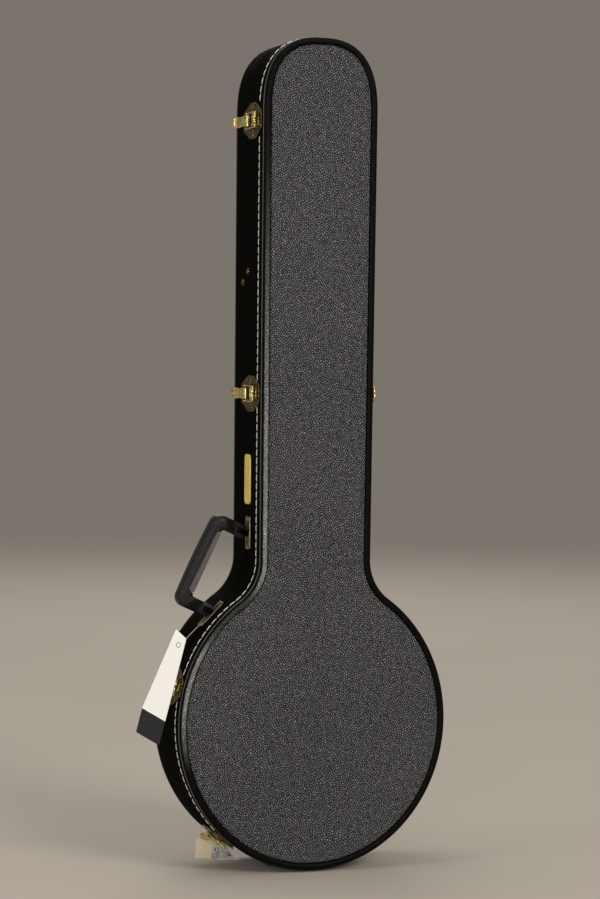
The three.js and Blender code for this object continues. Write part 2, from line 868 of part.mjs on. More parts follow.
function handleGrip() {
  const { armThickness, eyeLength, eyeGap, eyeRadius, endDrop } = handle;
  const outer = handleEdge(upperArmStart, lowerArmEnd, handle.outerEdge);
  const inner = handleEdge(
    upperArmStart + armThickness,
    lowerArmEnd - armThickness,
    handle.innerEdge,
  );
  const rings = outer.map((point, i) => {
    const fromEnd = Math.min(i, outer.length - 1 - i) / handle.armSteps;
    const widening = THREE.MathUtils.smoothstep(fromEnd, handle.taperStartShare, 1);
    const halfWidth = THREE.MathUtils.lerp(handle.endHalfWidth, handle.gripHalfWidth, widening);
    return handleRing(inner[i], point, halfWidth, handle.cornerPower, handle.sides);
  });
  const grip = solidFromRings(rings, (point) => at(point.x, point.z));
  const across = handle.gripHalfWidth + cutOverrun;
  const slots = [upperEye, lowerEye].map((eye) => extruded(
    rectangle(eye - eyeGap, eye + eyeLength + eyeGap, -endDrop - cutOverrun, eyeRadius + eyeGap),
    -across,
    across,
  ));
  const [upper, lower] = coreEdge();
  const bed = extruded(
    [
      at(upper.x - seatGap, upper.y - cutOverrun),
      at(lower.x + seatGap, lower.y - cutOverrun),
      at(lower.x + seatGap, lower.y + handle.coreLowerThickness + seatGap),
      at(upper.x - seatGap, upper.y + handle.coreUpperThickness + seatGap),
    ],
    -across,
    across,
  );
  const boreRadius = handle.pinRadius + runningGap;
  const [upperPin, lowerPin] = handlePinEnds();
  const bores = [
    rodX(boreRadius, upperArmStart - cutOverrun, upperPin[1] + runningGap, handle.sides),
    rodX(boreRadius, lowerPin[0] - runningGap, lowerArmEnd + cutOverrun, handle.sides),
  ];
  const [upperStation, lowerStation] = handleStations();
  return cut(
    grip,
    ...handleSwingCuts(upperStation),
    ...handleSwingCuts(lowerStation),
    ...slots,
    bed,
    ...bores,
  );
}

// A ribbed strip let into the inner side of the grip
function handleCore() {
  const [upper, lower] = coreEdge();
  const rings = [];
  for (let i = 0; i <= handle.coreSteps; i++) {
    const share = i / handle.coreSteps;
    const inner = upper.clone().lerp(lower, share);
    const thickness = THREE.MathUtils.lerp(handle.coreUpperThickness, handle.coreLowerThickness, share);
    const outer = at(inner.x, inner.y + thickness);
    inner.y -= handle.coreProud;
    rings.push(handleRing(inner, outer, handle.coreHalfWidth, handle.corePower, handle.coreSides));
  }
  return solidFromRings(rings, (point) => at(point.y, point.z));
}

// Each pin runs from just inside the outer face of its arm, through the eye, into the inner cheek
function handlePinEnds() {
  const hold = handle.eyeGap + handle.pinHold;
  return [
    [upperArmStart + handle.pinInset, upperEye + handle.eyeLength + hold],
    [lowerEye - hold, lowerArmEnd - handle.pinInset],
  ];
}

// Where the middle of a bar's thickness lies under a place on the axis, in the handle's plane
function barMiddleAt(station, along) {
  const toHandle = handleFrame().invert().multiply(wallFrame(station));
  const middle = new THREE.Vector3(0, 0, seatGap + handle.barThickness / 2).applyMatrix4(toHandle);
  const facing = zAxis.clone().transformDirection(toHandle);
  return (facing.dot(middle) - facing.x * along) / facing.y;
}

function handleBracket(station, eyeStart) {
  const half = handleBarLength / 2;
  const slim = handle.barWidth / 2;
  const middle = seamY - handle.depth;
  const bar = extruded(
    rectangle(-half, half, middle - slim, middle + slim),
    seatGap,
    seatGap + handle.barThickness,
  ).applyMatrix4(wallFrame(station));
  const eyeEnd = eyeStart + handle.eyeLength;
  const eye = rodX(handle.eyeRadius, eyeStart, eyeEnd, handle.sides);
  const web = extruded(
    [
      at(eyeStart, 0),
      at(eyeStart, barMiddleAt(station, eyeStart)),
      at(eyeEnd, barMiddleAt(station, eyeEnd)),
      at(eyeEnd, 0),
    ],
    -handle.webHalfWidth,
    handle.webHalfWidth,
  );
  const bore = rodX(
    handle.pinRadius + runningGap,
    eyeStart - cutOverrun,
    eyeEnd + cutOverrun,
    handle.sides,
  );
  const loop = cut(joined(eye, web), bore).applyMatrix4(handleFrame());
  return joined(bar, loop);
}

function handleStations() {
  return [
    mirrored(neckStation(sideRow.bar)),
    mirrored(boutStation(handle.lowerBarAngle * degree)),
  ];
}

function handleParts() {
  const [upperStation, lowerStation] = handleStations();
  const [upperPin, lowerPin] = handlePinEnds();
  const turning = placed(
    handleFrame(),
    named('handle_grip', handleGrip(), 'handle'),
    named('handle_core', handleCore(), 'core'),
    named('handle_upper_pin', rodX(handle.pinRadius, ...upperPin, handle.sides), 'steel'),
    named('handle_lower_pin', rodX(handle.pinRadius, ...lowerPin, handle.sides), 'steel'),
  );
  return [
    turning,
    named('handle_upper_bracket', handleBracket(upperStation, upperEye), 'brass'),
    named('handle_lower_bracket', handleBracket(lowerStation, lowerEye), 'brass'),
  ];
}

// Bare plate and two dome rivets on the neck's side
const sidePlate = {
  depth: -5,
  width: 24,
  thickness: 1.4,
  corner: 6.5,
  cornerSteps: 4,
  pinInset: 5,
  pinRadius: 1.6,
  pinHeight: 1,
  sides: 14,
};
const rivet = { radius: 4.6, height: 3, steps: 4, sides: 14, depths: [1, 22] };

function sidePlatePiece() {
  const half = sidePlateLength / 2;
  const slim = sidePlate.width / 2;
  const middle = seamY - sidePlate.depth;
  const { corner, cornerSteps } = sidePlate;
  const points = [[1, 1], [-1, 1], [-1, -1], [1, -1]].flatMap(([endward, sideward], quarter) => {
    const arc = [];
    for (let i = 0; i <= cornerSteps; i++) {
      const angle = (Math.PI / 2) * (quarter + i / cornerSteps);
      const x = endward * (half - corner) + corner * Math.cos(angle);
      arc.push(at(x, middle + sideward * (slim - corner) + corner * Math.sin(angle)));
    }
    return arc;
  });
  const top = seatGap + sidePlate.thickness;
  const plate = extruded(points, seatGap, top);
  const pinFoot = seatGap + sidePlate.thickness / 2;
  const pins = [1, -1].map((side) => {
    const pin = rodZ(sidePlate.pinRadius, pinFoot, top + sidePlate.pinHeight, sidePlate.sides);
    return pin.translate(side * (half - sidePlate.pinInset), middle, 0);
  });
  const station = mirrored(neckStation(sideRow.plate));
  return placed(wallFrame(station), named('side_plate', joined(plate, ...pins), 'gold'));
}

function rivets() {
  const profile = [];
  for (let i = 0; i <= rivet.steps; i++) {
    const angle = (Math.PI / 2) * (i / rivet.steps);
    profile.push(at(rivet.radius * Math.cos(angle), rivet.height * Math.sin(angle)));
  }
  profile[profile.length - 1].x = 0;
  const dome = new THREE.LatheGeometry([at(0, 0), ...profile], rivet.sides).rotateX(Math.PI / 2);
  return sideRow.rivets.map((height, i) => {
    const geometry = dome.clone().translate(0, seamY - rivet.depths[i], seatGap);
    const station = mirrored(neckStation(height));
    return placed(wallFrame(station), named(`side_rivet_${i + 1}`, geometry, 'brass'));
  });
}

// Feet under the round end
const foot = { spread: 34, halfWidth: 10, nearSetback: 8, farInset: 5, steps: 4 };

function tailFeet() {
  return [['right', 1], ['left', -1]].map(([place, side]) => {
    const angleOf = (x) => -Math.acos(x / boutHalfWidth);
    const from = angleOf(foot.spread - foot.halfWidth);
    const to = angleOf(foot.spread + foot.halfWidth);
    const top = [];
    for (let i = 0; i <= foot.steps; i++) {
      const { place: point, outward } = boutStation(from + (to - from) * (i / foot.steps));
      top.push(point.addScaledVector(outward, seatGap));
    }
    const points = [at(top[0].x, 0), at(top[foot.steps].x, 0), ...top.reverse()];
    const flipped = points.map((point) => at(side * point.x, point.y));
    const near = seamY + foot.nearSetback;
    const far = backY - bindingHeight - foot.farInset;
    return named(`tail_foot_${place}`, extrudedY(flipped, near, far), 'rubber');
  });
}

// Fittings inside the base
const inside = {
  heelRise: 4.4,
  heelLength: 26,
  heelTop: 12,
  heelNotch: 34,
  cradleDrop: 95,
  cradleLength: 34,
  cradleTop: 0,
  cradleNotch: 27,
  notchDepth: 30,
  pocketLength: 180,
  pocketPlaceShare: 0.412,
  partitionThickness: 5,
  pocketTop: 16,
  lidThickness: 3.2,
  lidEdgeGap: 3.5,
  rodRadius: 1.4,
  barrelRadius: 3,
  barrelInset: 4.2,
  rodGrip: 2.6,
  notchSteps: 8,
  sides: 14,
};
const insideWidth = wallThickness + seatGap + tongueThickness + seatGap + liningThickness + seatGap;
const insideFloor = backY - backPanelThickness - seatGap - floorLiningThickness - seatGap;

const heelLow = neckLow.y + inside.heelRise;
const cradleLow = archBaseZ - inside.cradleDrop;
const pocketMiddle = THREE.MathUtils.lerp(heelLow + inside.heelLength, cradleLow, inside.pocketPlaceShare);
const pocketLow = pocketMiddle - (inside.pocketLength + inside.partitionThickness) / 2;
const pocketHigh = pocketLow + inside.pocketLength;

function insideEdge(height) {
  const { place, outward } = neckStation(height);
  return place.addScaledVector(outward, -insideWidth).x;
}

// A padded block across the neck, with a round notch in its top
function crossBlock(height, length, top, notch) {
  const half = insideEdge(height);
  const points = [at(-half, insideFloor), at(half, insideFloor), at(half, top)];
  for (let i = 0; i <= inside.notchSteps; i++) {
    const angle = Math.PI * (i / inside.notchSteps);
    points.push(at(notch * Math.cos(angle), top + inside.notchDepth * Math.sin(angle)));
  }
  points.push(at(-half, top));
  return extruded(points, height, height + length);
}

const pocketHinge = at(insideEdge(pocketLow) - inside.barrelInset, inside.pocketTop);

function partition(height, rodSide) {
  const half = insideEdge(height);
  const far = height + inside.partitionThickness;
  const earTop = inside.pocketTop - inside.barrelRadius;
  const earFoot = inside.pocketTop + inside.barrelRadius;
  const earEdge = pocketHinge.x - inside.barrelRadius;
  const body = extruded(rectangle(-half, half, inside.pocketTop, insideFloor), height, far);
  const ears = extruded(rectangle(earEdge, half, earTop, earFoot), height, far);
  const face = rodSide > 0 ? far : height;
  const socket = rodZ(
    inside.rodRadius + runningGap,
    face - inside.rodGrip - runningGap,
    face + inside.rodGrip + runningGap,
    inside.sides,
  );
  return cut(joined(body, ears), socket.translate(pocketHinge.x, pocketHinge.y, 0));
}

function pocketLid() {
  const low = pocketLow + inside.partitionThickness + seatGap;
  const high = pocketHigh - seatGap;
  const free = inside.lidEdgeGap - insideEdge(pocketLow);
  const half = inside.lidThickness / 2;
  const flapPoints = rectangle(free, pocketHinge.x, pocketHinge.y - half, pocketHinge.y + half);
  const flap = extruded(flapPoints, low, high);
  const barrel = rodZ(inside.barrelRadius, low, high, inside.sides);
  barrel.translate(pocketHinge.x, pocketHinge.y, 0);
  const bore = rodZ(inside.rodRadius + runningGap, low - cutOverrun, high + cutOverrun, inside.sides);
  return cut(joined(flap, barrel), bore.translate(pocketHinge.x, pocketHinge.y, 0));
}

function fittings() {
  const rod = rodZ(
    inside.rodRadius,
    pocketLow + inside.partitionThickness - inside.rodGrip,
    pocketHigh + inside.rodGrip,
    inside.sides,
  ).translate(pocketHinge.x, pocketHinge.y, 0);
  const heel = crossBlock(heelLow, inside.heelLength, inside.heelTop, inside.heelNotch);
  const cradle = crossBlock(cradleLow, inside.cradleLength, inside.cradleTop, inside.cradleNotch);
  return [
    named('heel_block', heel, 'plush'),
    named('neck_cradle', cradle, 'plush'),
    named('pocket_partition_lower', partition(pocketLow, 1), 'plush'),
    named('pocket_partition_upper', partition(pocketHigh, -1), 'plush'),
    named('pocket_hinge_rod', rod, 'steel'),
    named('pocket_lid', pocketLid(), 'plush'),
  ];
}

// Blank paper tag with slanted ends, on a string from the handle's lower bracket
const tag = {
  length: 140,
  width: 35,
  topWidth: 17,
  slopeLength: 108,
  endSlant: 8.5,
  thickness: 0.8,
  lean: 14.4,
  turn: 38,
  holeDrop: 10,
  holeInset: 8,
};
const tagCord = { radius: 0.6, sides: 8, steps: 26 };
const tagCordRoute = [
  [-139.9, -15.2, 324.9],
  [-141, -18.6, 323.6],
  [-146, -23.6, 322],
  [-153, -30.4, 318.4],
  [-161, -37.8, 313.6],
  [-169, -44.6, 308.4],
  [-175.6, -50, 304],
  [-180, -53.6, 301.6],
  [-183.3, -57.2, 301],
];

// The tag's back lies square to the string's end
function hangTag() {
  const lean = tag.lean * degree;
  const turn = tag.turn * degree;
  const up = new THREE.Vector3(Math.sin(lean), 0, Math.cos(lean));
  const across = new THREE.Vector3(-Math.cos(lean), 0, Math.sin(lean))
    .multiplyScalar(Math.cos(turn))
    .addScaledVector(yAxis, Math.sin(turn));
  const behind = across.clone().cross(up);
  const corner = new THREE.Vector3(...tagCordRoute[tagCordRoute.length - 1])
    .addScaledVector(behind, -seatGap - tag.thickness)
    .addScaledVector(up, tag.holeDrop - tag.length)
    .addScaledVector(across, -tag.holeInset);
  const frame = new THREE.Matrix4().makeBasis(across, up, behind).setPosition(corner);
  const points = [
    at(0, 0),
    at(tag.width, tag.endSlant),
    at(tag.width, tag.length + tag.endSlant - tag.slopeLength),
    at(tag.topWidth, tag.length + tag.endSlant),
    at(0, tag.length),
  ];
  return placed(frame, named('hang_tag', extruded(points, 0, tag.thickness), 'card'));
}

function tagString() {
  const route = new THREE.CatmullRomCurve3(tagCordRoute.map((point) => new THREE.Vector3(...point)));
  const round = new THREE.Shape();
  round.absarc(0, 0, tagCord.radius, 0, 2 * Math.PI);
  const section = new THREE.Shape(round.getSpacedPoints(tagCord.sides).slice(0, -1));
  const geometry = new THREE.ExtrudeGeometry(section, { steps: tagCord.steps, extrudePath: route });
  return named('tag_string', geometry, 'card');
}

// Small card for the keys, held at its upper corner under the lowest latch
const keyCard = { setback: 51.5, thickness: 1.2, length: 59, height: 26, cornerAngle: -58.2, tilt: 6 };

function keyCardPiece() {
  const { place, outward } = mirrored(boutStation(keyCard.cornerAngle * degree));
  const corner = place.clone().addScaledVector(outward, seatGap);
  const toe = at(keyCard.height, -keyCard.height);
  const points = [at(0, 0), at(-keyCard.length + toe.x, 0), at(-keyCard.length + toe.x, toe.y), toe];
  points.forEach((point) => point.rotateAround(at(0, 0), -keyCard.tilt * degree).add(corner));
  const near = seamY + keyCard.setback;
  return named('key_card', extrudedY(points.reverse(), near, near + keyCard.thickness), 'keyCard');
}

// The case stands with the middle of its own box over the origin
const standing = new THREE.Group();
standing.add(...baseShell(), ...lidShell(), ...latches(), ...hinges(), ...handleParts());
standing.add(sidePlatePiece(), ...rivets(), ...tailFeet(), ...fittings(), keyCardPiece());
const reach = new THREE.Box3().setFromObject(standing, true);
const middle = reach.getCenter(new THREE.Vector3());
standing.position.set(-middle.x, -middle.y, -reach.min.z);
standing.add(hangTag(), tagString());

const model = new THREE.Group();
model.add(standing);
export default model;
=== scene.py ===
# A hard banjo case standing on its round end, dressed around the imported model.
# The dictionaries hold millimetres in the part's own frame, unless a comment says metres.
import math

import bmesh
import bpy
from mathutils import Matrix, Vector, noise


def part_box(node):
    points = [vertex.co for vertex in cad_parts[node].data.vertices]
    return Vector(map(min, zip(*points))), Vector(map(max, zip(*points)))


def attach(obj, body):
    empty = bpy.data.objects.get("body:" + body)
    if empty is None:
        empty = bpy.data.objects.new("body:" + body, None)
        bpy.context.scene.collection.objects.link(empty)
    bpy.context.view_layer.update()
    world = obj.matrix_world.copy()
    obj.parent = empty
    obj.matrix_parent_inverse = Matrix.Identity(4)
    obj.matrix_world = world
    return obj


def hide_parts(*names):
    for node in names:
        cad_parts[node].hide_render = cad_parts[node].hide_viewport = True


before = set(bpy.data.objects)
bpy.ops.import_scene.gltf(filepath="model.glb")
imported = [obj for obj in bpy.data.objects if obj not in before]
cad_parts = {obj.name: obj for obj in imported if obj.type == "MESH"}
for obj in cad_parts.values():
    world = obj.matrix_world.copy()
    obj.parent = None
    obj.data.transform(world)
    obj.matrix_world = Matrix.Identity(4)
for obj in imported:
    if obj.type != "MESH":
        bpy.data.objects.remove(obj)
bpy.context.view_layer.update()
scene = bpy.context.scene
mm = 0.001
rollLow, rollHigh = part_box("lid_edge_roll")
shiftX = (rollLow.x + rollHigh.x) / 2 / mm  # the part stands with its box over the origin


def toFrame(point):
    return (Vector(point) + Vector((shiftX, 0, 0))) * mm


def addObject(name, data):
    made = bpy.data.objects.new(name, data)
    scene.collection.objects.link(made)
    return made


# Camera, where the photograph was taken from; near and far are metres
photoView = {
    "place": (-1170.27, -3383.63, 687.6),
    "right": (0.94544042, -0.32555628, 0.01247108),
    "up": (0.000874606, 0.0408149825, 0.999166339),
    "lens": 109.04, "sensor": 36, "near": 0.05, "far": 60,
}


def addCamera():
    data = bpy.data.cameras.new("photo_camera")
    data.lens, data.sensor_width = photoView["lens"], photoView["sensor"]
    data.clip_start, data.clip_end = photoView["near"], photoView["far"]
    camera = addObject("photo_camera", data)
    right, up = Vector(photoView["right"]), Vector(photoView["up"])
    turn = Matrix((right, up, right.cross(up))).transposed()
    camera.matrix_world = Matrix.Translation(toFrame(photoView["place"])) @ turn.to_4x4()
    scene.camera = camera


addCamera()
print("camera placed")


class Link:  # a node's socket that takes part in plain arithmetic
    def __init__(self, paint, socket):
        self.paint, self.socket = paint, socket

    def __add__(self, other):
        return self.paint.math("ADD", self, other)

    def __sub__(self, other):
        return self.paint.math("SUBTRACT", self, other)

    def __rsub__(self, other):
        return self.paint.math("SUBTRACT", other, self)

    def __mul__(self, other):
        return self.paint.math("MULTIPLY", self, other)

    __radd__, __rmul__ = __add__, __mul__

    def clipped(self):
        return self.paint.node("Clamp", {}, {0: self})


class Paint:  # the nodes of one material, or of the world
    socketNames = {
        "colour": "Base Color", "specular": "Specular IOR Level", "sheen": "Sheen Weight",
        "sheenRoughness": "Sheen Roughness", "sheenTint": "Sheen Tint",
    }

    def __init__(self, owner):
        owner.use_nodes = True
        self.owner, self.tree = owner, owner.node_tree

    def feed(self, socket, item):
        if isinstance(item, Link):
            self.tree.links.new(item.socket, socket)
        else:
            socket.default_value = item

    def node(self, kind, settings=None, sockets=None, out=0):
        made = self.tree.nodes.new("ShaderNode" + kind)
        for key, value in (settings or {}).items():
            setattr(made, key, value)
        for key, value in (sockets or {}).items():
            self.feed(made.inputs[key], value)
        return Link(self, made.outputs[out])

    def math(self, operation, *items):
        return self.node("Math", {"operation": operation}, dict(enumerate(items)))

    def vector(self, operation, *items):
        return self.node("VectorMath", {"operation": operation}, dict(enumerate(items)))

    def mix(self, share, first, second):
        return self.node("Mix", {"data_type": "RGBA"}, {0: share, 6: first, 7: second}, 2)

    def step(self, value, low, high):  # 0 below low, 1 above high, smooth between
        sockets = {0: value, 1: low, 2: high, 3: 0, 4: 1}
        return self.node("MapRange", {"interpolation_type": "SMOOTHSTEP"}, sockets)

    def place(self):
        return self.node("TexCoord", out="Object")

    def axis(self, index):
        return self.node("SeparateXYZ", {}, {0: self.place()}, index)

    def noise(self, size, detail=2.0, rough=0.5, out=0):  # size in millimetres
        sockets = {"Vector": self.place(), "Scale": 1 / (size * mm), "Detail": detail, "Roughness": rough}
        return self.node("TexNoise", {}, sockets, out)

    def bump(self, height, depth):
        return self.node("Bump", {}, {"Strength": 1.0, "Distance": depth * mm, "Height": height})

    def done(self, **sockets):
        shader = self.tree.nodes["Principled BSDF"]
        for key, value in sockets.items():
            self.feed(shader.inputs[self.socketNames.get(key, key.capitalize())], value)
        return self.owner


def newPaint(name):
    return Paint(bpy.data.materials.new(name))


def sRgb(red, green, blue):  # a colour written as 0 to 255 on the screen
    shares = [c / 255 for c in (red, green, blue)]
    return (*[c / 12.92 if c <= 0.04045 else ((c + 0.055) / 1.055) ** 2.4 for c in shares], 1)


# Vinyl: a flat panel across Y has its pebbles drawn in the panel's own plane
vinylLooks = {
    # the creases' dark colour is painted shade; on the face and back the light grey of the pebble tops is
    # painted sheen
    "face": {"shadedCrease": (1, 1, 2), "top": (130, 129, 131), "grain": 2.75, "depth": 0.6,
             "rough": 0.46, "specular": 0.2, "flat": True},
    # the roll also carries a painted highlight, laid out below
    "roll": {"shadedCrease": (3, 3, 3), "top": (14, 14, 14), "grain": 2.4, "depth": 0.2,
             "rough": 0.24, "specular": 0.07, "paintedHighlight": True},
    "side": {"shadedCrease": (7, 7, 5), "top": (17, 17, 14), "grain": 3.0, "depth": 0.25,
             "rough": 0.62, "specular": 0.012},
    "band": {"shadedCrease": (8, 8, 6), "top": (20, 20, 17), "grain": 2.2, "depth": 0.22,
             "rough": 0.58, "specular": 0.012},
    "back": {"shadedCrease": (1, 1, 2), "top": (112, 110, 112), "grain": 2.75, "depth": 0.6,
             "rough": 0.5, "specular": 0.2, "flat": True},
}
pebbles = {
    "warp": 2.2, "drift": 1.1, "lean": 0.58, "scatter": 0.8, "groove": (0.08, 0.38), "fine": 0.3,
    "broad": 150, "high": 0.9, "fineShare": 0.4, "broadShare": 0.08, "fineHeight": 0.3, "rougher": 0.22,
    "uneven": 0.16,
}
# where a highlight is painted in light grey onto the lid's roll: over its crown, on the handle side, in
# metres
paintedHighlight = {
    "crown": (rollLow.y + 0.0001, rollLow.y + 0.0013), "side": (-0.06, -0.02), "foot": (0.13, 0.23),
    "top": (0.48, 0.98), "shoulder": ((0.28, 0.32), (0.35, 0.39)), "shoulderDimming": 0.8,
    "deep": (46, 46, 46), "high": (198, 199, 198), "pebble": 0.7, "fine": 0.35,
}


# painted highlight: the roll's colour goes to light grey over its crown on the handle side, fading out at
# the foot and the top and dimmed at the shoulder
def paintedHighlightColour(paint, colour, share, fine):
    x, y, z = (paint.axis(i) for i in range(3))
    highlightShare = (1 - paint.step(y, *paintedHighlight["crown"])) * (1 - paint.step(x, *paintedHighlight["side"]))
    highlightShare = highlightShare * paint.step(z, *paintedHighlight["foot"]) * (1 - paint.step(z, *paintedHighlight["top"]))
    below, above = (paint.step(z, *edges) for edges in paintedHighlight["shoulder"])
    highlightShare = highlightShare * (1 - below * (1 - above) * paintedHighlight["shoulderDimming"])
    rise = share * paintedHighlight["pebble"] + fine * paintedHighlight["fine"]
    return paint.mix(highlightShare, colour, paint.mix(rise, sRgb(*paintedHighlight["deep"]), sRgb(*paintedHighlight["high"])))


def vinylLook(name):
    look, paint = vinylLooks[name], newPaint(f"{name}_vinyl")
    size, flat = look["grain"], look.get("flat", False)
    warp = paint.vector("SUBTRACT", paint.noise(size * pebbles["warp"], 2.0, 0.6, 1), (0.5, 0.5, 0.5))
    reach = {0: warp, "Scale": size * pebbles["drift"] * mm}
    moved = paint.vector("ADD", paint.place(), paint.node("VectorMath", {"operation": "SCALE"}, reach))
    if flat:
        moved = paint.node("Mapping", {}, {"Vector": moved, "Rotation": (math.pi / 2, 0, pebbles["lean"])})
    cells = {"Vector": moved, "Scale": 1 / (size * mm), "Randomness": pebbles["scatter"] if flat else 1.0}
    kind = {"feature": "DISTANCE_TO_EDGE", "voronoi_dimensions": "2D" if flat else "3D"}
    pebble = paint.step(paint.node("TexVoronoi", kind, cells), *pebbles["groove"])
    fine, broad = paint.noise(size * pebbles["fine"], 3.0, 0.65), paint.noise(pebbles["broad"])
    share = pebble * pebbles["high"] + (fine - 0.5) * pebbles["fineShare"]
    share = (share + (broad - 0.5) * pebbles["broadShare"]).clipped()
    # colour runs from the creases' painted shade to the pebble tops, which are painted sheen on the face and
    # back
    colour = paint.mix(share, sRgb(*look["shadedCrease"]), sRgb(*look["top"]))
    # the roll's painted highlight
    if look.get("paintedHighlight"):
        colour = paintedHighlightColour(paint, colour, share, fine)
    rough = look["rough"] + (1 - pebble) * pebbles["rougher"] + (fine - 0.5) * pebbles["uneven"]
    return paint.done(colour=colour, roughness=rough, specular=look["specular"],
                      normal=paint.bump(pebble + fine * pebbles["fineHeight"], look["depth"]))


# Metal: clouds of wear between a deep and a high colour
metalLooks = {
    # gold and the look on the next line are dark and pale copies of one latch brass: gold's deep colour is
    # painted shade for the dark surroundings it reflects, and the pale copy's colour is a painted glint
    "gold": {"deep": (32, 28, 13), "high": (140, 120, 62), "rough": 0.18, "wear": 9, "relief": 0.3},
    "paintedGlintBrass": {"deep": (140, 116, 54), "high": (255, 236, 172), "rough": 0.1, "wear": 14, "metal": 0.75},
    "plateGold": {"deep": (226, 196, 84), "high": (250, 228, 124), "rough": 0.3, "wear": 40, "metal": 0.4},
    "antique": {"deep": (88, 80, 60), "high": (176, 164, 132), "rough": 0.26, "wear": 22},
    # near-black brass for the handle lugs: painted shade where they sit under the handle's arms
    "paintedShadeBrass": {"deep": (10, 9, 7), "high": (22, 20, 15), "rough": 0.4, "wear": 22},
    "steel": {"deep": (120, 118, 112), "high": (196, 194, 188), "rough": 0.3, "wear": 18},
}
wear = {"cloud": 0.35, "fine": 1.1, "mottle": 0.35, "edge": (0.3, 0.68), "rougher": 0.2, "uneven": 0.12}


def metalLook(name):
    look, paint = metalLooks[name], newPaint(f"{name}_metal")
    cloud, fine = paint.noise(look["wear"] * wear["cloud"], 4.0, 0.62), paint.noise(wear["fine"], 3.0, 0.6)
    share = paint.step(cloud + (fine - 0.5) * wear["mottle"], *wear["edge"])
    colour = paint.mix(share, sRgb(*look["deep"]), sRgb(*look["high"]))
    rough = look["rough"] + (1 - share) * wear["rougher"] + (fine - 0.5) * wear["uneven"]
    return paint.done(colour=colour, metallic=look.get("metal", 1.0), roughness=rough,
                      normal=paint.bump(fine + cloud, look.get("relief", 0.06)))


plainLooks = {
    "trim": {"name": "edge_trim", "deep": (16, 16, 15), "high": (40, 40, 38), "size": 0.7, "rough": 0.45,
             "relief": 0.12},
    # the welt cord's grey is a painted highlight: the thin light line it catches along the lid's edge
    "welt": {"name": "welt_cord", "deep": (44, 44, 42), "high": (104, 104, 100), "size": 0.8, "rough": 0.4,
             "relief": 0.1},
    "thread": {"name": "stitch_thread", "deep": (206, 205, 198), "high": (246, 245, 240), "size": 0.35,
               "rough": 0.8, "relief": 0.1},
    "handle": {"name": "handle_black", "deep": (4, 5, 5), "high": (28, 30, 30), "size": 1.1, "rough": 0.36,
               "relief": 0.35, "specular": 0.3},
    "core": {"name": "handle_core", "deep": (50, 47, 46), "high": (100, 95, 92), "size": 0.6, "rough": 0.5,
             "relief": 0.2},
    "rubber": {"name": "foot_rubber", "deep": (14, 14, 14), "high": (34, 34, 33), "size": 1.2,
               "rough": 0.75, "relief": 0.15},
    "string": {"name": "tag_thread", "deep": (122, 117, 104), "high": (176, 169, 155), "size": 0.3,
               "rough": 0.85, "relief": 0.12},
    "cream": {"name": "key_card", "deep": (214, 198, 164), "high": (236, 222, 192), "size": 1.0,
              "rough": 0.75, "relief": 0.04},
}


def plainLook(look):
    paint = newPaint(look["name"])
    cloud, fine = paint.noise(look["size"] * 9, 3.0, 0.6), paint.noise(look["size"], 3.0, 0.6)
    share = (cloud * 0.6 + fine * 0.6 - 0.1).clipped()
    return paint.done(colour=paint.mix(share, sRgb(*look["deep"]), sRgb(*look["high"])),
                      roughness=look["rough"] + (fine - 0.5) * 0.16, specular=look.get("specular", 0.5),
                      normal=paint.bump(fine, look["relief"]))


plush = {
    "deep": (58, 14, 24), "high": (134, 44, 58), "tint": (200, 110, 120), "nap": 0.9, "patch": 38,
    "patchShare": 0.26, "napShare": 0.6, "least": 0.02, "relief": 0.5,
}


def plushLook():
    paint = newPaint("plush")
    nap = paint.noise(plush["nap"], 4.0, 0.7)
    lie = paint.step(paint.noise(plush["patch"]), 0.3, 0.7)  # where the pile lies one way or the other
    share = (lie * plush["patchShare"] + nap * plush["napShare"] + plush["least"]).clipped()
    return paint.done(colour=paint.mix(share, sRgb(*plush["deep"]), sRgb(*plush["high"])), roughness=0.95,
                      specular=0.15, sheen=0.6, sheenRoughness=0.4, sheenTint=sRgb(*plush["tint"]),
                      normal=paint.bump(nap, plush["relief"]))


looks = {name: vinylLook(name) for name in vinylLooks}
looks.update({name: metalLook(name) for name in metalLooks})
looks.update({name: plainLook(look) for name, look in plainLooks.items()})
looks["plush"] = plushLook()
print("finishes made")


# Meshes: a shape is a list of points and a list of faces
def sharpen(mesh, angle):
    work = bmesh.new()
    work.from_mesh(mesh)
    bmesh.ops.recalc_face_normals(work, faces=work.faces)
    for face in work.faces:
        face.smooth = True
    for edge in work.edges:
        edge.smooth = len(edge.link_faces) != 2 or edge.calc_face_angle(0) < math.radians(angle)
    work.to_mesh(mesh)
    work.free()


def plainMesh(name, shape):
    mesh = bpy.data.meshes.new(name)
    mesh.from_pydata([toFrame(point) for point in shape[0]], [], shape[1])
    return mesh


def bake(piece):
    # what the modifiers show becomes the piece's own mesh
    graph = bpy.context.evaluated_depsgraph_get()
    piece.data = bpy.data.meshes.new_from_object(piece.evaluated_get(graph))
    piece.modifiers.clear()


def carve(piece, tools):
    # solids taken out of a piece, one after another
    for tool in tools:
        mesh = plainMesh("tool", tool)
        sharpen(mesh, 30)
        cutter = addObject("tool", mesh)
        cutting = piece.modifiers.new("cut", "BOOLEAN")
        cutting.operation, cutting.solver, cutting.object = "DIFFERENCE", "EXACT", cutter
        bake(piece)
        bpy.data.objects.remove(cutter)


def fit(piece, body, replaced):
    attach(piece, body)
    if replaced:
        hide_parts(*replaced)
    return piece


def addPiece(name, shape, look, body, replaced=(), angle=38, tools=()):
    mesh = plainMesh(name, shape)
    mesh.materials.append(looks[look])
    sharpen(mesh, angle)
    piece = addObject(name, mesh)
    if tools:
        carve(piece, tools)
        sharpen(piece.data, angle)
    return fit(piece, body, replaced)


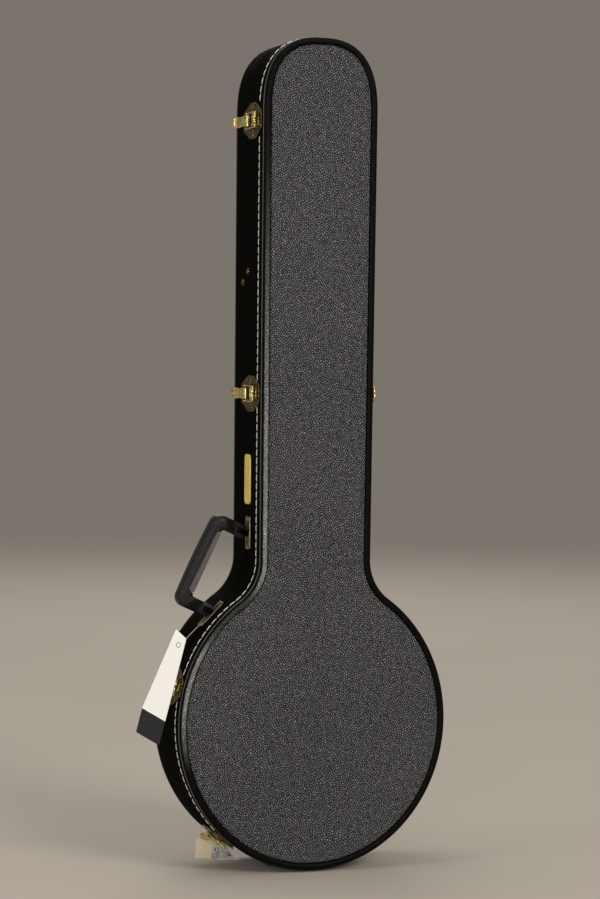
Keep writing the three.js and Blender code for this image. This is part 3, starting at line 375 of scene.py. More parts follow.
def ringsShape(rings, looped=False):
    # rings of points joined one to the next, with flat ends unless they come round again
    count = len(rings[0])
    points = [point for ring in rings for point in ring]
    faces = []
    for r in range(len(rings) if looped else len(rings) - 1):
        here, following = r * count, (r + 1) % len(rings) * count
        for i in range(count):
            j = (i + 1) % count
            faces.append((here + i, here + j, following + j, following + i))
    if not looped:
        faces.append(tuple(reversed(range(count))))
        faces.append(tuple(range(len(points) - count, len(points))))
    return points, faces


def joinShapes(*shapes):
    points, faces = [], []
    for more, moreFaces in shapes:
        base = len(points)
        points += list(more)
        faces += [tuple(base + i for i in face) for face in moreFaces]
    return points, faces


def movedShape(shape, matrix):
    return [matrix @ Vector(point) for point in shape[0]], shape[1]


def axesMatrix(x, y, z, place):
    return Matrix([[*row] for row in zip(x, y, z, place)] + [[0, 0, 0, 1]])


alongX = axesMatrix((0, 1, 0), (0, 0, 1), (1, 0, 0), (0, 0, 0))  # X, Y, Z become Y, Z, X


def quarterTurn(steps, first=0):
    return [math.pi / 2 * k / steps for k in range(first, steps + 1)]


def wholeTurn(steps, offset=0.0):
    return [2 * math.pi * (k + offset) / steps for k in range(steps)]


def insetPolygon(points, distance):
    # every side moved inward, for a polygon that turns left; sharp corners are held back
    result = []
    for i, here in enumerate(points):
        before, after = Vector(points[i - 1]), Vector(points[(i + 1) % len(points)])
        here = Vector(here)
        first, second = (here - before).normalized(), (after - here).normalized()
        left = Vector((-first.y - second.y, first.x + second.x))
        if left.length < 1e-6:
            result.append(here)
            continue
        left.normalize()
        result.append(here + left * distance / max(0.35, left.dot(Vector((-first.y, first.x)))))
    return result


def roundedPolygon(points, radius, steps=4):
    # each corner becomes a curve that takes up less than half of either side
    result = []
    for i, here in enumerate(points):
        here = Vector(here)
        before, after = Vector(points[i - 1]), Vector(points[(i + 1) % len(points)])
        back, on = (before - here), (after - here)
        reach = min(radius, back.length * 0.48, on.length * 0.48)
        start, end = here + back.normalized() * reach, here + on.normalized() * reach
        for k in range(steps + 1):
            t = k / steps
            result.append(start.lerp(here, t).lerp(here.lerp(end, t), t))
    return result


def turnsLeft(points):
    pairs = [(points[i - 1], here) for i, here in enumerate(points)]
    area = sum(before[0] * here[1] - here[0] * before[1] for before, here in pairs)
    return points if area > 0 else list(reversed(points))


def levelShape(edge, levels):
    # a flat polygon built up through pairs of inset and height
    return ringsShape([[(p.x, p.y, level) for p in insetPolygon(edge, inset)] for inset, level in levels])


def slab(points, low, high, bevel=0.3, steps=2):
    # a flat polygon in X and Y made solid along Z, with its edges rounded
    levels = [(bevel * (1 - math.sin(turn)), low + bevel * (1 - math.cos(turn)))
              for turn in quarterTurn(steps)]
    levels += [(inset, low + high - level) for inset, level in reversed(levels)]
    return levelShape(turnsLeft([Vector(point) for point in points]), levels)


def lathe(profile, sides):
    # pairs of radius and height turned round Z; a zero radius leaves a pinhole's width
    rings = []
    for radius, height in profile:
        radius = max(radius, 0.01)
        rings.append([(radius * math.cos(turn), radius * math.sin(turn), height)
                      for turn in wholeTurn(sides)])
    return ringsShape(rings)


def rod(radius, start, end, sides=20, bevel=0.25):
    inner = radius - bevel
    return lathe([(inner, start), (radius, start + bevel), (radius, end - bevel), (inner, end)], sides)


def domeHead(radius, height, low, sides=18, steps=5):
    dome = [(radius * math.cos(turn), low + height * math.sin(turn)) for turn in quarterTurn(steps, 1)]
    return lathe([(radius, low), *dome], sides)


def tube(route, radius, sides=10):
    # a round bar along a route of points, its radius a number or a function of the share run
    route = [Vector(point) for point in route]
    rings, side = [], None
    for i, here in enumerate(route):
        along = (route[min(i + 1, len(route) - 1)] - route[max(i - 1, 0)]).normalized()
        if side is None:
            side = along.cross(Vector((0, 0, 1)))
            if side.length < 0.1:
                side = along.cross(Vector((1, 0, 0)))
        side = (side - along * side.dot(along)).normalized()
        up = along.cross(side)
        size = radius(i / (len(route) - 1)) if callable(radius) else radius
        rings.append([here + side * size * math.cos(turn) + up * size * math.sin(turn)
                      for turn in wholeTurn(sides)])
    return ringsShape(rings)


def smoothRoute(points, steps):
    # the same rounded line through points that the part's source draws
    points = [Vector(point) for point in points]
    ends = [points[0] * 2 - points[1], *points, points[-1] * 2 - points[-2]]
    result = []
    for i in range(1, len(ends) - 2):
        p0, p1, p2, p3 = ends[i - 1:i + 3]
        d0, d1, d2 = ((b - a).length ** 0.5 for a, b in ((p0, p1), (p1, p2), (p2, p3)))
        out = ((p1 - p0) / d0 - (p2 - p0) / (d0 + d1) + (p2 - p1) / d1) * d1
        into = ((p2 - p1) / d1 - (p3 - p1) / (d1 + d2) + (p3 - p2) / d2) * d1
        for k in range(steps):
            t = k / steps
            result.append(p1 * (2 * t ** 3 - 3 * t * t + 1) + out * (t ** 3 - 2 * t * t + t)
                          + p2 * (3 * t * t - 2 * t ** 3) + into * (t ** 3 - t * t))
    return [*result, points[-1]]


def evenRoute(points, count):
    lengths = [0.0]
    for a, b in zip(points, points[1:]):
        lengths.append(lengths[-1] + (b - a).length)
    result, k = [], 0
    for i in range(count):
        goal = lengths[-1] * i / (count - 1)
        while k < len(points) - 2 and lengths[k + 1] < goal:
            k += 1
        share = (goal - lengths[k]) / max(1e-9, lengths[k + 1] - lengths[k])
        result.append(points[k].lerp(points[k + 1], min(1.0, share)))
    return result


def routeLength(points):
    return sum((b - a).length for a, b in zip(points, points[1:]))


# Case outline: round end, shoulders, neck and arched end
case = {
    "length": 1080, "boutHalfWidth": 182, "boutHalfHeight": 192.8, "neckLow": 75.3,
    "neckHigh": 77.4, "archHeight": 97, "archPower": 2.55, "shoulder": 64, "floorGap": 2,
    "front": -62.5, "seam": -17.5, "back": 62.5, "stations": 720,
}
outlineSteps = {"halvings": 50, "bout": 500, "shoulder": 120, "neck": 200, "arch": 600}
boutMiddle = case["floorGap"] + case["boutHalfHeight"]
archBase = case["floorGap"] + case["length"] - case["archHeight"]
neckLow = Vector((case["neckLow"], boutMiddle + case["boutHalfHeight"]))
neckHigh = Vector((case["neckHigh"], archBase))
neckRun = (neckHigh - neckLow).normalized()
neckOut = Vector((neckRun.y, -neckRun.x))


# a station is a place on the outline and the direction outward there
def boutStation(angle):
    a, b = case["boutHalfWidth"], case["boutHalfHeight"]
    place = Vector((a * math.cos(angle), boutMiddle + b * math.sin(angle)))
    return place, Vector((b * math.cos(angle), a * math.sin(angle))).normalized()


def neckStation(height):
    return neckLow.lerp(neckHigh, (height - neckLow.y) / (neckHigh.y - neckLow.y)), neckOut.copy()


def archStation(angle):
    power = case["archPower"]
    across, up = math.cos(angle) ** (2 / power), max(0.0, math.sin(angle)) ** (2 / power)
    place = Vector((case["neckHigh"] * across, archBase + case["archHeight"] * up))
    slope = Vector((across ** (power - 1) / case["neckHigh"], up ** (power - 1) / case["archHeight"]))
    return place, slope.normalized()


def leftOf(station):
    place, out = station
    return Vector((-place.x, place.y)), Vector((-out.x, out.y))


def outlineStations():
    # fine steps round the whole outline, from the round end's foot up the right side
    low, high = 0.0, math.pi / 2
    for _ in range(outlineSteps["halvings"]):
        middle = (low + high) / 2
        place, out = boutStation(middle)
        outside = (place + out * case["shoulder"] - neckLow).dot(neckOut) > case["shoulder"]
        low, high = (middle, high) if outside else (low, middle)
    place, out = boutStation(low)
    centre = place + out * case["shoulder"]
    steps = outlineSteps["bout"]
    fine = [boutStation(-math.pi / 2 + (low + math.pi / 2) * i / steps) for i in range(steps)]
    start = math.atan2(-out.y, -out.x) % (2 * math.pi)
    end = math.atan2(-neckOut.y, -neckOut.x) % (2 * math.pi)
    steps = outlineSteps["shoulder"]
    for i in range(steps + 1):
        turn = start + (end - start) * i / steps
        inward = Vector((math.cos(turn), math.sin(turn)))
        fine.append((centre + inward * case["shoulder"], -inward))
    foot, steps = fine[-1][0].y, outlineSteps["neck"]
    fine += [neckStation(foot + (archBase - foot) * i / steps) for i in range(1, steps)]
    steps = outlineSteps["arch"]
    fine += [archStation(math.pi / 2 * (i / steps)) for i in range(steps + 1)]
    fine += [leftOf(station) for station in reversed(fine[1:-1])]
    lengths = [0.0]
    for i in range(len(fine)):
        lengths.append(lengths[-1] + (fine[(i + 1) % len(fine)][0] - fine[i][0]).length)
    return fine, lengths


finePlaces, fineLengths = outlineStations()
outlineLength = fineLengths[-1]


def stationAt(distance):
    distance %= outlineLength
    low, high = 0, len(finePlaces)
    while high - low > 1:
        middle = (low + high) // 2
        low, high = (middle, high) if fineLengths[middle] <= distance else (low, middle)
    share = (distance - fineLengths[low]) / max(1e-9, fineLengths[low + 1] - fineLengths[low])
    (place, out), (nextPlace, nextOut) = finePlaces[low], finePlaces[(low + 1) % len(finePlaces)]
    return place.lerp(nextPlace, share), out.lerp(nextOut, share).normalized()


stations = [stationAt(outlineLength * i / case["stations"]) for i in range(case["stations"])]


def outlineRing(inset, depth):
    return [Vector(((place - out * inset).x, depth, (place - out * inset).y)) for place, out in stations]


def rimShape(section, radius=0.0, steps=3):
    # a band round the case from its section of insets and depths, its corners rounded
    if radius:
        section = [tuple(point) for point in roundedPolygon(section, radius, steps)]
    return ringsShape([outlineRing(inset, depth) for inset, depth in section], looped=True)


def boardShape(levels):
    return ringsShape([outlineRing(inset, depth) for inset, depth in levels])


def wallMatrix(station):
    # X runs along the wall, Y across the seam to the lid, Z outward
    place, out = station
    return axesMatrix((-out.y, 0, out.x), (0, -1, 0), (out.x, 0, out.y), (place.x, case["seam"], place.y))


# Tag and its string
stringRoute = [
    (-139.9, -15.2, 324.9), (-141, -18.6, 323.6), (-146, -23.6, 322), (-153, -30.4, 318.4),
    (-161, -37.8, 313.6), (-169, -44.6, 308.4), (-175.6, -50, 304), (-180, -53.6, 301.6),
    (-183.3, -57.2, 301),
]
stringRadius = 0.6
hangTag = {
    "length": 140, "width": 35, "topWidth": 17, "slope": 108, "slant": 8.5, "thickness": 0.8,
    "lean": 14.4, "turn": 38, "holeDrop": 10, "holeInset": 8, "gap": 0.3, "foot": 31.5,
    "corner": 1.6, "bevel": 0.15, "eyelet": 3, "eyeletBar": 0.45, "eyeletSink": 0.1,
}
tagPaper = {
    "white": ((226, 225, 221), (243, 242, 239)), "black": ((15, 15, 16), (30, 30, 31)),
    "fibre": 0.7, "waver": 6, "border": 0.002,
}


def tagMatrix():
    lean, turn = math.radians(hangTag["lean"]), math.radians(hangTag["turn"])
    up = Vector((math.sin(lean), 0, math.cos(lean)))
    across = Vector((-math.cos(lean), 0, math.sin(lean))) * math.cos(turn) + Vector((0, math.sin(turn), 0))
    behind = across.cross(up)
    corner = Vector(stringRoute[-1]) - behind * (hangTag["gap"] + hangTag["thickness"])
    corner += up * (hangTag["holeDrop"] - hangTag["length"]) - across * hangTag["holeInset"]
    return axesMatrix(across, up, behind, corner)


def tagLook():
    # white card with a black foot, measured up the card
    paint = newPaint("tag_print")
    height = paint.node("SeparateXYZ", {}, {0: paint.node("UVMap")}, 1)
    edge, half = paint.noise(tagPaper["waver"]), tagPaper["border"]
    border = hangTag["foot"] / hangTag["length"]
    foot = 1 - paint.step(height + (edge - 0.5) * (half * 2), border - half, border + half)
    fibre = paint.noise(tagPaper["fibre"], 3.0, 0.6)
    white, black = (paint.mix(fibre, *(sRgb(*c) for c in tagPaper[part])) for part in ("white", "black"))
    return paint.done(colour=paint.mix(foot, white, black), roughness=0.5 - foot * 0.12,
                      specular=0.4, normal=paint.bump(fibre, 0.02))


looks["tag"] = tagLook()


def addTag():
    tag, matrix = hangTag, tagMatrix()
    top = tag["length"] + tag["slant"]
    corners = [(0, 0), (tag["width"], tag["slant"]), (tag["width"], top - tag["slope"]),
               (tag["topWidth"], top), (0, tag["length"])]
    edge = turnsLeft(roundedPolygon(corners, tag["corner"], 4))
    shape = movedShape(slab(edge, 0, tag["thickness"], tag["bevel"], 1), matrix)
    piece = addPiece("hang_tag_card", shape, "tag", "base", ["hang_tag"])
    layer, back = piece.data.uv_layers.new(name="sheet"), matrix.inverted()
    for loop in piece.data.loops:
        local = back @ (piece.data.vertices[loop.vertex_index].co / mm - Vector((shiftX, 0, 0)))
        slanted = local.y - tag["slant"] * local.x / tag["width"]
        layer.data[loop.index].uv = (local.x / tag["width"], slanted / tag["length"])
    middle, height, size = tag["holeInset"], tag["length"] - tag["holeDrop"], tag["eyelet"]
    ring = [(middle + size * math.cos(turn), height + size * math.sin(turn), -tag["eyeletSink"])
            for turn in wholeTurn(24)]
    eyelet = movedShape(tube([*ring, ring[0]], tag["eyeletBar"], 8), matrix)
    return addPiece("hang_tag_eyelet", eyelet, "steel", "base")


def addString(eyelet):
    route = evenRoute(smoothRoute(stringRoute, 8), 40)
    curve = bpy.data.curves.new("tag_string_cord", "CURVE")
    curve.dimensions, curve.bevel_depth = "3D", stringRadius * mm
    curve.bevel_resolution, curve.use_fill_caps = 3, True
    line = curve.splines.new("POLY")
    line.points.add(len(route) - 1)
    for point, place in zip(line.points, route):
        point.co = (*toFrame(place), 1)
    curve.materials.append(looks["string"])
    cord = fit(addObject("tag_string_cord", curve), "base", ["tag_string"])
    length = routeLength(route) * mm
    print(f"tag string {length / mm:.1f} mm")


addString(addTag())


# Base and lid shells
shell = {
    "wall": 5, "gap": 0.3, "seamHalf": 0.2, "rollWidth": 9, "rollHeight": 6.2,
    "weltHeight": 1.4, "weltWidth": 1.6, "weltProud": 0.4, "weltCorner": 0.68, "bandWidth": 18,
    "bandThickness": 0.8, "bandEdge": 0.7, "bandTuck": 0.35, "binding": 7.5, "backPanel": 4.8, "crown": 0.6,
    "tongue": 2, "tongueRise": 6, "tongueFoot": 14, "tongueClear": 0.8, "tongueCorner": 0.5, "lining": 3,
    "floorLining": 3.4, "liningCorner": 1.2, "wallCorner": 0.8, "faceEdge": (3.2, 3.4), "faceDip": 22,
    "fill": 0.9,
}
rollCurve = {
    "lip": 0.25, "outer": 0.52, "outerFoot": 0.86, "outerRise": 0.8, "innerRise": 0.36, "innerFoot": 0.9,
}
bindingCurve = {"width": 0.9, "foot": 0.35, "rise": 0.65}
# how a board's edge rounds off: pairs of distance inward and drop under its top
boardEdges = {
    "pad": ((0, 0.9), (0.4, 0.2), (1.4, 0), (20, 0)),
    "back": ((0, 1.2), (0.4, 0.4), (1.3, 0), (20, 0)),
}
stitch = {
    "depth": 23, "pitch": 10.9, "length": 9.7, "radius": 0.58, "proud": 0.36, "dent": 0.3, "dentWidth": 1.1,
    "sag": 0.75, "slant": 0.22, "tip": 0.12, "slim": 0.45, "steps": 8, "sides": 8, "clear": 3,
}


def boardLevels(kind, inset, foot, top):
    down = math.copysign(1, top - foot)
    return [(inset, foot), *((inset + inward, top - down * drop) for inward, drop in boardEdges[kind])]


def rollSection():
    # a padded roll: full over the outer corner, tucked in at the face
    width, height, front, curve = shell["rollWidth"], shell["rollHeight"], case["front"], rollCurve
    outer, lip, full = curve["outer"], curve["lip"], height * curve["outerRise"]
    section = [(lip, front + height), (0.0, front + height * curve["outerFoot"])]
    section += [(width * outer * (1 - math.cos(turn)), front + full * (1 - math.sin(turn)))
                for turn in quarterTurn(12)]
    section += [(width * outer + width * (1 - outer) * math.sin(turn),
                 front + height * curve["innerRise"] * (1 - math.cos(turn))) for turn in quarterTurn(9, 1)]
    return [*section, (width, front + height * curve["innerFoot"]), (width - lip, front + height)]


def bandSection(top, foot):
    # the stitched band: its outer face dips under the row of stitches and tucks in at both edges
    row, steps, thick = case["front"] + stitch["depth"], 30, shell["bandThickness"]
    outer = []
    for k in range(steps + 1):
        depth = top + (foot - top) * k / steps
        groove = stitch["dent"] * math.exp(-((depth - row) / stitch["dentWidth"]) ** 2)
        edge = max(0, 1 - (depth - top) / shell["bandEdge"], 1 - (foot - depth) / shell["bandEdge"])
        outer.append((groove + shell["bandTuck"] * edge * edge, depth))
    return [*outer, (thick, foot), (thick, top)]


def addLidShell():
    front, gap, wall = case["front"], shell["gap"], shell["wall"]
    rollFoot = front + shell["rollHeight"]
    weltTop, weltFoot = rollFoot + gap, rollFoot + gap + shell["weltHeight"]
    wallTop = weltFoot + gap
    bandFoot = wallTop + shell["bandWidth"]
    seat, lidSeam = shell["bandThickness"] + gap, case["seam"] - shell["seamHalf"]
    addPiece("lid_roll_vinyl", rimShape(rollSection()), "roll", "lid", ["lid_edge_roll"], 60)
    welt = [(-shell["weltProud"], weltTop), (shell["weltWidth"], weltTop),
            (shell["weltWidth"], weltFoot), (-shell["weltProud"], weltFoot)]
    addPiece("lid_welt_cord", rimShape(welt, shell["weltCorner"], 4), "welt", "lid",
             ["lid_welt"], 60)
    addPiece("lid_band_vinyl", rimShape(bandSection(wallTop, bandFoot)), "band", "lid",
             ["lid_stitched_band"], 50)
    side = [(0, lidSeam), (wall, lidSeam), (wall, wallTop), (seat, wallTop),
            (seat, bandFoot + gap), (0, bandFoot + gap)]
    addPiece("lid_side_vinyl", rimShape(side, shell["wallCorner"]), "side", "lid",
             ["lid_side_wall"], 50)
    edge, top, (inward, drop) = shell["rollWidth"] + gap, front + shell["crown"], shell["faceEdge"]
    panel = [(edge + gap, rollFoot), (edge, rollFoot - gap)]
    panel += [(edge + inward * (1 - math.cos(turn)), top + drop * (1 - math.sin(turn)))
              for turn in quarterTurn(6)]
    panel += [(edge + shell["rollWidth"], front + gap), (edge + shell["faceDip"], front + gap)]
    addPiece("lid_face_vinyl", boardShape(panel), "face", "lid", ["lid_panel"], 50)


def addBaseShell():
    seam, back, gap, wall = case["seam"], case["back"], shell["gap"], shell["wall"]
    baseSeam, width = seam + shell["seamHalf"], shell["binding"]
    wallEnd = back - width
    side = [(0, baseSeam), (0, wallEnd - gap), (wall, wallEnd - gap), (wall, baseSeam)]
    addPiece("base_side_vinyl", rimShape(side, shell["wallCorner"]), "side", "base",
             ["base_side_wall"], 50)
    curve = bindingCurve
    binding = [(width * curve["width"] * (1 - math.cos(turn)),
                wallEnd + width * (curve["foot"] + curve["rise"] * math.sin(turn)))
               for turn in quarterTurn(10)]
    binding = [(0, wallEnd), *binding, (width, back), (width, wallEnd)]
    addPiece("base_binding_trim", rimShape(binding), "trim", "base", ["base_edge_binding"], 50)
    panel = boardLevels("back", width + gap, back - shell["backPanel"], back)
    addPiece("base_back_vinyl", boardShape(panel), "back", "base", ["base_back_panel"], 50)
    tongueOut, free = wall + gap, wall + shell["tongueClear"]
    tongueIn, rise = tongueOut + shell["tongue"], seam - shell["tongueRise"]
    tongueEnd = seam + shell["tongueFoot"]
    tongue = [(free, rise), (free, baseSeam), (tongueOut, baseSeam), (tongueOut, tongueEnd),
              (tongueIn, tongueEnd), (tongueIn, rise)]
    addPiece("base_tongue_trim", rimShape(tongue, shell["tongueCorner"]), "trim", "base",
             ["base_rim_tongue"], 50)


def addLinings():
    seam, gap, thick, corner = case["seam"], shell["gap"], shell["lining"], shell["liningCorner"]
    baseSeam, tongueOut = seam + shell["seamHalf"], shell["wall"] + gap
    step = tongueOut + shell["tongue"] + gap
    inner, tongueEnd = step + thick, seam + shell["tongueFoot"]
    floor = case["back"] - shell["backPanel"] - gap
    end = floor - shell["floorLining"]
    baseWall = [(step, baseSeam), (step, tongueEnd + gap), (tongueOut, tongueEnd + gap),
                (tongueOut, end), (inner, end), (inner, baseSeam)]
    weltTop = case["front"] + shell["rollHeight"] + gap
    faceIn = weltTop + thick
    foot = seam - shell["tongueRise"] - shell["tongueClear"]
    lidWall = [(tongueOut, foot), (tongueOut, faceIn + gap), (tongueOut + thick, faceIn + gap),
               (tongueOut + thick, foot)]
    shapes = {
        "base_wall": (rimShape(baseWall, corner), "base_wall_lining"),
        "lid_wall": (rimShape(lidWall, corner), "lid_wall_lining"),
        "base_floor": (boardShape(boardLevels("pad", step, floor, end + gap)), "base_floor_lining"),
        "lid_face": (boardShape(boardLevels("pad", tongueOut, weltTop, faceIn)), "lid_panel_lining"),
    }
    for name, (shape, node) in shapes.items():
        piece = addPiece(f"{name}_plush", shape, "plush", node.split("_")[0], [node], 60)


addLidShell()
addBaseShell()
addLinings()
print("shells covered")


# Places of the fittings up the handle side
sideRow = {"bar": 52.4, "plate": 16, "latch": 56, "endLatch": 10, "rivetShares": (0.4504, 0.4108),
           "barLength": 43, "plateLength": 65, "latchWidth": 47, "upperBout": 14.4, "lowerBout": -51}
barHeight = neckLow.y + sideRow["bar"]
plateHeight = barHeight + sideRow["barLength"] / 2 + sideRow["plate"] + sideRow["plateLength"] / 2
middleHeight = plateHeight + sideRow["plateLength"] / 2 + sideRow["latch"] + sideRow["latchWidth"] / 2
endHeight = archBase - sideRow["endLatch"]
latchStations = {
    "end": leftOf(neckStation(endHeight)),
    "middle": leftOf(neckStation(middleHeight)),
    "hinge_side": neckStation(middleHeight),
    "upper_bout": leftOf(boutStation(math.radians(sideRow["upperBout"]))),
    "lower_bout": leftOf(boutStation(math.radians(sideRow["lowerBout"]))),
}


def stitchShape(middle, row):
    # one stitch, thick in the middle and sunk at both ends
    rings = []
    for k in range(stitch["steps"] + 1):
        share = k / stitch["steps"] * 2 - 1
        place, out = stationAt(middle + share * stitch["length"] / 2)
        swell = max(stitch["tip"], 1 - abs(share) ** 5)
        radius = stitch["radius"] * (1 - stitch["slim"] + stitch["slim"] * swell)
        lift = stitch["proud"] - stitch["sag"] * abs(share) ** 4 - stitch["dent"] * 0.5
        ring = []
        for turn in wholeTurn(stitch["sides"]):
            point = place + out * (lift + radius * math.cos(turn))
            ring.append((point.x, row + stitch["slant"] * share + radius * math.sin(turn), point.y))
        rings.append(ring)
    return ringsShape(rings)


def addStitches():
    # one row of thread round the band, left out under the catch plates
    blocked = [station[0] for station in latchStations.values()]
    free = sideRow["latchWidth"] / 2 - stitch["clear"]
    count = round(outlineLength / stitch["pitch"])
    middles = [outlineLength * (i + 0.5) / count for i in range(count)]
    shapes = [stitchShape(middle, case["front"] + stitch["depth"]) for middle in middles
              if min((stationAt(middle)[0] - place).length for place in blocked) >= free]
    addPiece("lid_stitches", joinShapes(*shapes), "thread", "lid", (), 60)


addStitches()
print("stitches sewn")


# Latches
latch = {
    "plate": 1.6, "endWidth": 22, "baseLength": 41, "catchLength": 33, "setback": 0.8, "straight": 0.3,
    "corner": 2.4, "pivotBack": 8, "pivotHeight": 6.5, "pin": 1.3, "knuckle": 2.8, "ear": 1.3,
    "earFoot": 4, "earTop": 1.6, "earShoulder": 0.6, "earCorner": 1.6, "leverWidth": 14, "lever": 1.8,
    "reach": 30, "tabRun": 8, "tabRise": 5.6, "cheek": 1.5, "cheekReach": 14, "cheekDrop": 3.2,
    "cheekNose": 1.4, "cheekStep": 0.4, "cheekCorner": 1.0, "toggleBack": 9, "toggleDrop": 1.8,
    "stub": 1.1, "arm": 1.5, "armHeight": 1.6, "bailReach": 43, "bailRise": 3.3, "roll": 2.2,
    "bridge": 15, "ridgeBack": 17, "ridge": 6.5, "ridgeHeight": 2, "ridgeSlope": 1.2,
    "ridgeCorner": 0.9, "sideGap": 0.4, "rivet": 1.9, "rivetRise": 1.0, "rivetSink": 0.5,
    "rivetInset": 5.6, "rivetEnd": (2.6, 5.2),
}
leverCurve = {
    "skin": 0.9, "dome": 0.25, "curl": 1.35, "tip": 0.14, "waist": 0.9, "waistAt": 0.55, "waistRun": 0.12,
    "ribs": (-2.6, 0, 2.6), "ribRadius": 0.42, "ribFrom": 6, "ribStep": 0.7, "ribSink": 0.12,
}
bailCurve = {
    "arch": 0.5, "eye": 1.2, "wave": 1.5, "wide": 0.94, "back": 1.2, "swing": 0.6, "lift": 0.3,
    "thick": 0.86, "sheet": 0.55, "corner": 2.2,
}
# stamped metal: its foot's chamfer, then pairs of inset and drop under the top
stampings = {
    "latch": {
        "foot": (0.35, 0.35),
        "rim": ((0, 0.4), (0.15, 0.12), (0.45, 0), (1.7, 0), (2.1, 0.15), (2.4, 0.4), (2.9, 0.45)),
    },
    "bar": {
        "foot": (0.2, 0.3),
        "rim": ((0, 1.1), (0.35, 0.5), (1.1, 0.12), (2.0, 0), (3.0, 0.14), (3.9, 0.5), (4.8, 0.62),
                (6.2, 0.5), (7.4, 0.42)),
    },
    "plate": {
        "foot": (0.3, 0.3),
        "rim": ((0, 0.35), (0.12, 0.1), (0.4, 0), (1.3, 0), (1.5, 0.22), (1.9, 0.25), (2.1, 0.08),
                (2.6, 0.02)),
    },
}
plateTop = shell["gap"] + latch["plate"]
leverHalf = latch["leverWidth"] / 2
earInner = leverHalf + latch["sideGap"]
earOuter = earInner + latch["ear"]
armInner = earOuter + latch["sideGap"]
armOuter = armInner + latch["arm"]
pivot = Vector((-latch["pivotBack"], latch["pivotHeight"]))
toggle = pivot + Vector((-latch["toggleBack"], -latch["toggleDrop"]))


def stampedShape(edge, kind, low, high):
    chamfer, rise = stampings[kind]["foot"]
    rim = [(inset, high - drop) for inset, drop in stampings[kind]["rim"]]
    return levelShape(edge, [(chamfer, low), (0, low + rise), *rim])


def laidAcross(shape, y=0.0, z=0.0):
    # a shape drawn in Y and Z and made along X, at a place
    return movedShape(shape, Matrix.Translation((0, y, z)) @ alongX)


def raised(value, power):
    # a power that keeps the sign, to square a round section off
    return math.copysign(abs(value) ** power, value)


def plateOutline(length, side):
    half, endHalf = sideRow["latchWidth"] / 2, latch["endWidth"] / 2
    near, straight, far = (side * v for v in (latch["setback"], length * latch["straight"], length))
    corners = [(-half, near), (half, near), (half, straight), (endHalf, far), (-endHalf, far),
               (-half, straight)]
    edge = turnsLeft([Vector(corner) for corner in corners])
    return turnsLeft(roundedPolygon(edge, latch["corner"], 3))


def plateShape(length, side):
    # a stamped plate: raised rim, sunk field and four rivets
    shapes = [stampedShape(plateOutline(length, side), "latch", shell["gap"], plateTop)]
    inward, up = latch["rivetEnd"]
    half, endHalf = sideRow["latchWidth"] / 2 - latch["rivetInset"], latch["endWidth"] / 2 - inward
    near, far = latch["rivetInset"], length - up
    for x, y in ((-half, near), (half, near), (-endHalf, far), (endHalf, far)):
        head = domeHead(latch["rivet"], latch["rivetRise"], plateTop - latch["rivetSink"])
        shapes.append(movedShape(head, Matrix.Translation((x, side * y, 0))))
    return joinShapes(*shapes)


def latchBaseShape():
    top, shoulder = latch["pivotHeight"] + latch["knuckle"], pivot.y + latch["earShoulder"]
    foot, half, slim = shell["gap"] + latch["plate"] / 2, latch["earFoot"], latch["earTop"]
    profile = [(pivot.x - half, foot), (pivot.x + half, foot), (pivot.x + half, shoulder),
               (pivot.x + slim, top), (pivot.x - slim, top), (pivot.x - half, shoulder)]
    profile = roundedPolygon(profile, latch["earCorner"], 4)
    ears = [laidAcross(slab(profile, earInner, earOuter)), laidAcross(slab(profile, -earOuter, -earInner))]
    pin = laidAcross(rod(latch["pin"], -earOuter - 0.1, earOuter + 0.1, 18), pivot.x, pivot.y)
    return joinShapes(plateShape(latch["baseLength"], -1), *ears, pin)


def stripShape(line, thickness, halfWidth, bevel=0.3):
    # sheet metal bent along a line in Y and Z, its half width given along the line
    line = [Vector(point) for point in line]
    total, run, rings = routeLength(line), 0.0, []
    for i, here in enumerate(line):
        if i:
            run += (here - line[i - 1]).length
        ahead = (line[min(i + 1, len(line) - 1)] - line[max(i - 1, 0)]).normalized()
        normal = Vector((-ahead.y, ahead.x))
        half, deep = max(0.4, halfWidth(run / total)), thickness / 2
        if i in (0, len(line) - 1):
            half, deep = half - bevel * 0.8, deep - bevel * 0.6
        corner = min(bevel, half * 0.4, deep * 0.8)
        flat, edge = half - corner, deep - corner
        section = [(flat, -deep), (half, -edge), (half, edge), (flat, deep),
                   (-flat, deep), (-half, edge), (-half, -edge), (-flat, -deep)]
        rings.append([(x, *(here + normal * n)) for x, n in section])
    return ringsShape(rings)


def leverLine(radius):
    # the knuckle rolled round the pin, the slightly domed back and the lifted tab
    turns = [math.radians(-150 + 240 * k / 24) for k in range(25)]
    line = [(pivot.x + radius * math.cos(turn), pivot.y + radius * math.sin(turn)) for turn in turns]
    top, bend = pivot.y + radius, pivot.x - latch["reach"]
    for share in (k / 12 for k in range(1, 13)):
        dome = leverCurve["dome"] * math.sin(math.pi * share)
        line.append((pivot.x + (bend - pivot.x) * share, top - dome))
    for share in (k / 8 for k in range(1, 9)):
        line.append((bend - latch["tabRun"] * share, top + latch["tabRise"] * share ** leverCurve["curl"]))
    return line


def leverWidthAt(share):
    tip = max(0.0, (share - 1 + leverCurve["tip"]) / leverCurve["tip"])
    waist = leverCurve["waist"] * math.exp(-((share - leverCurve["waistAt"]) / leverCurve["waistRun"]) ** 2)
    return leverHalf * math.sqrt(max(0.02, 1 - tip ** 2.6)) - waist


def ribRadiusAt(share):
    return leverCurve["ribRadius"] * math.sqrt(max(0.03, 1 - (2 * share - 1) ** 6))


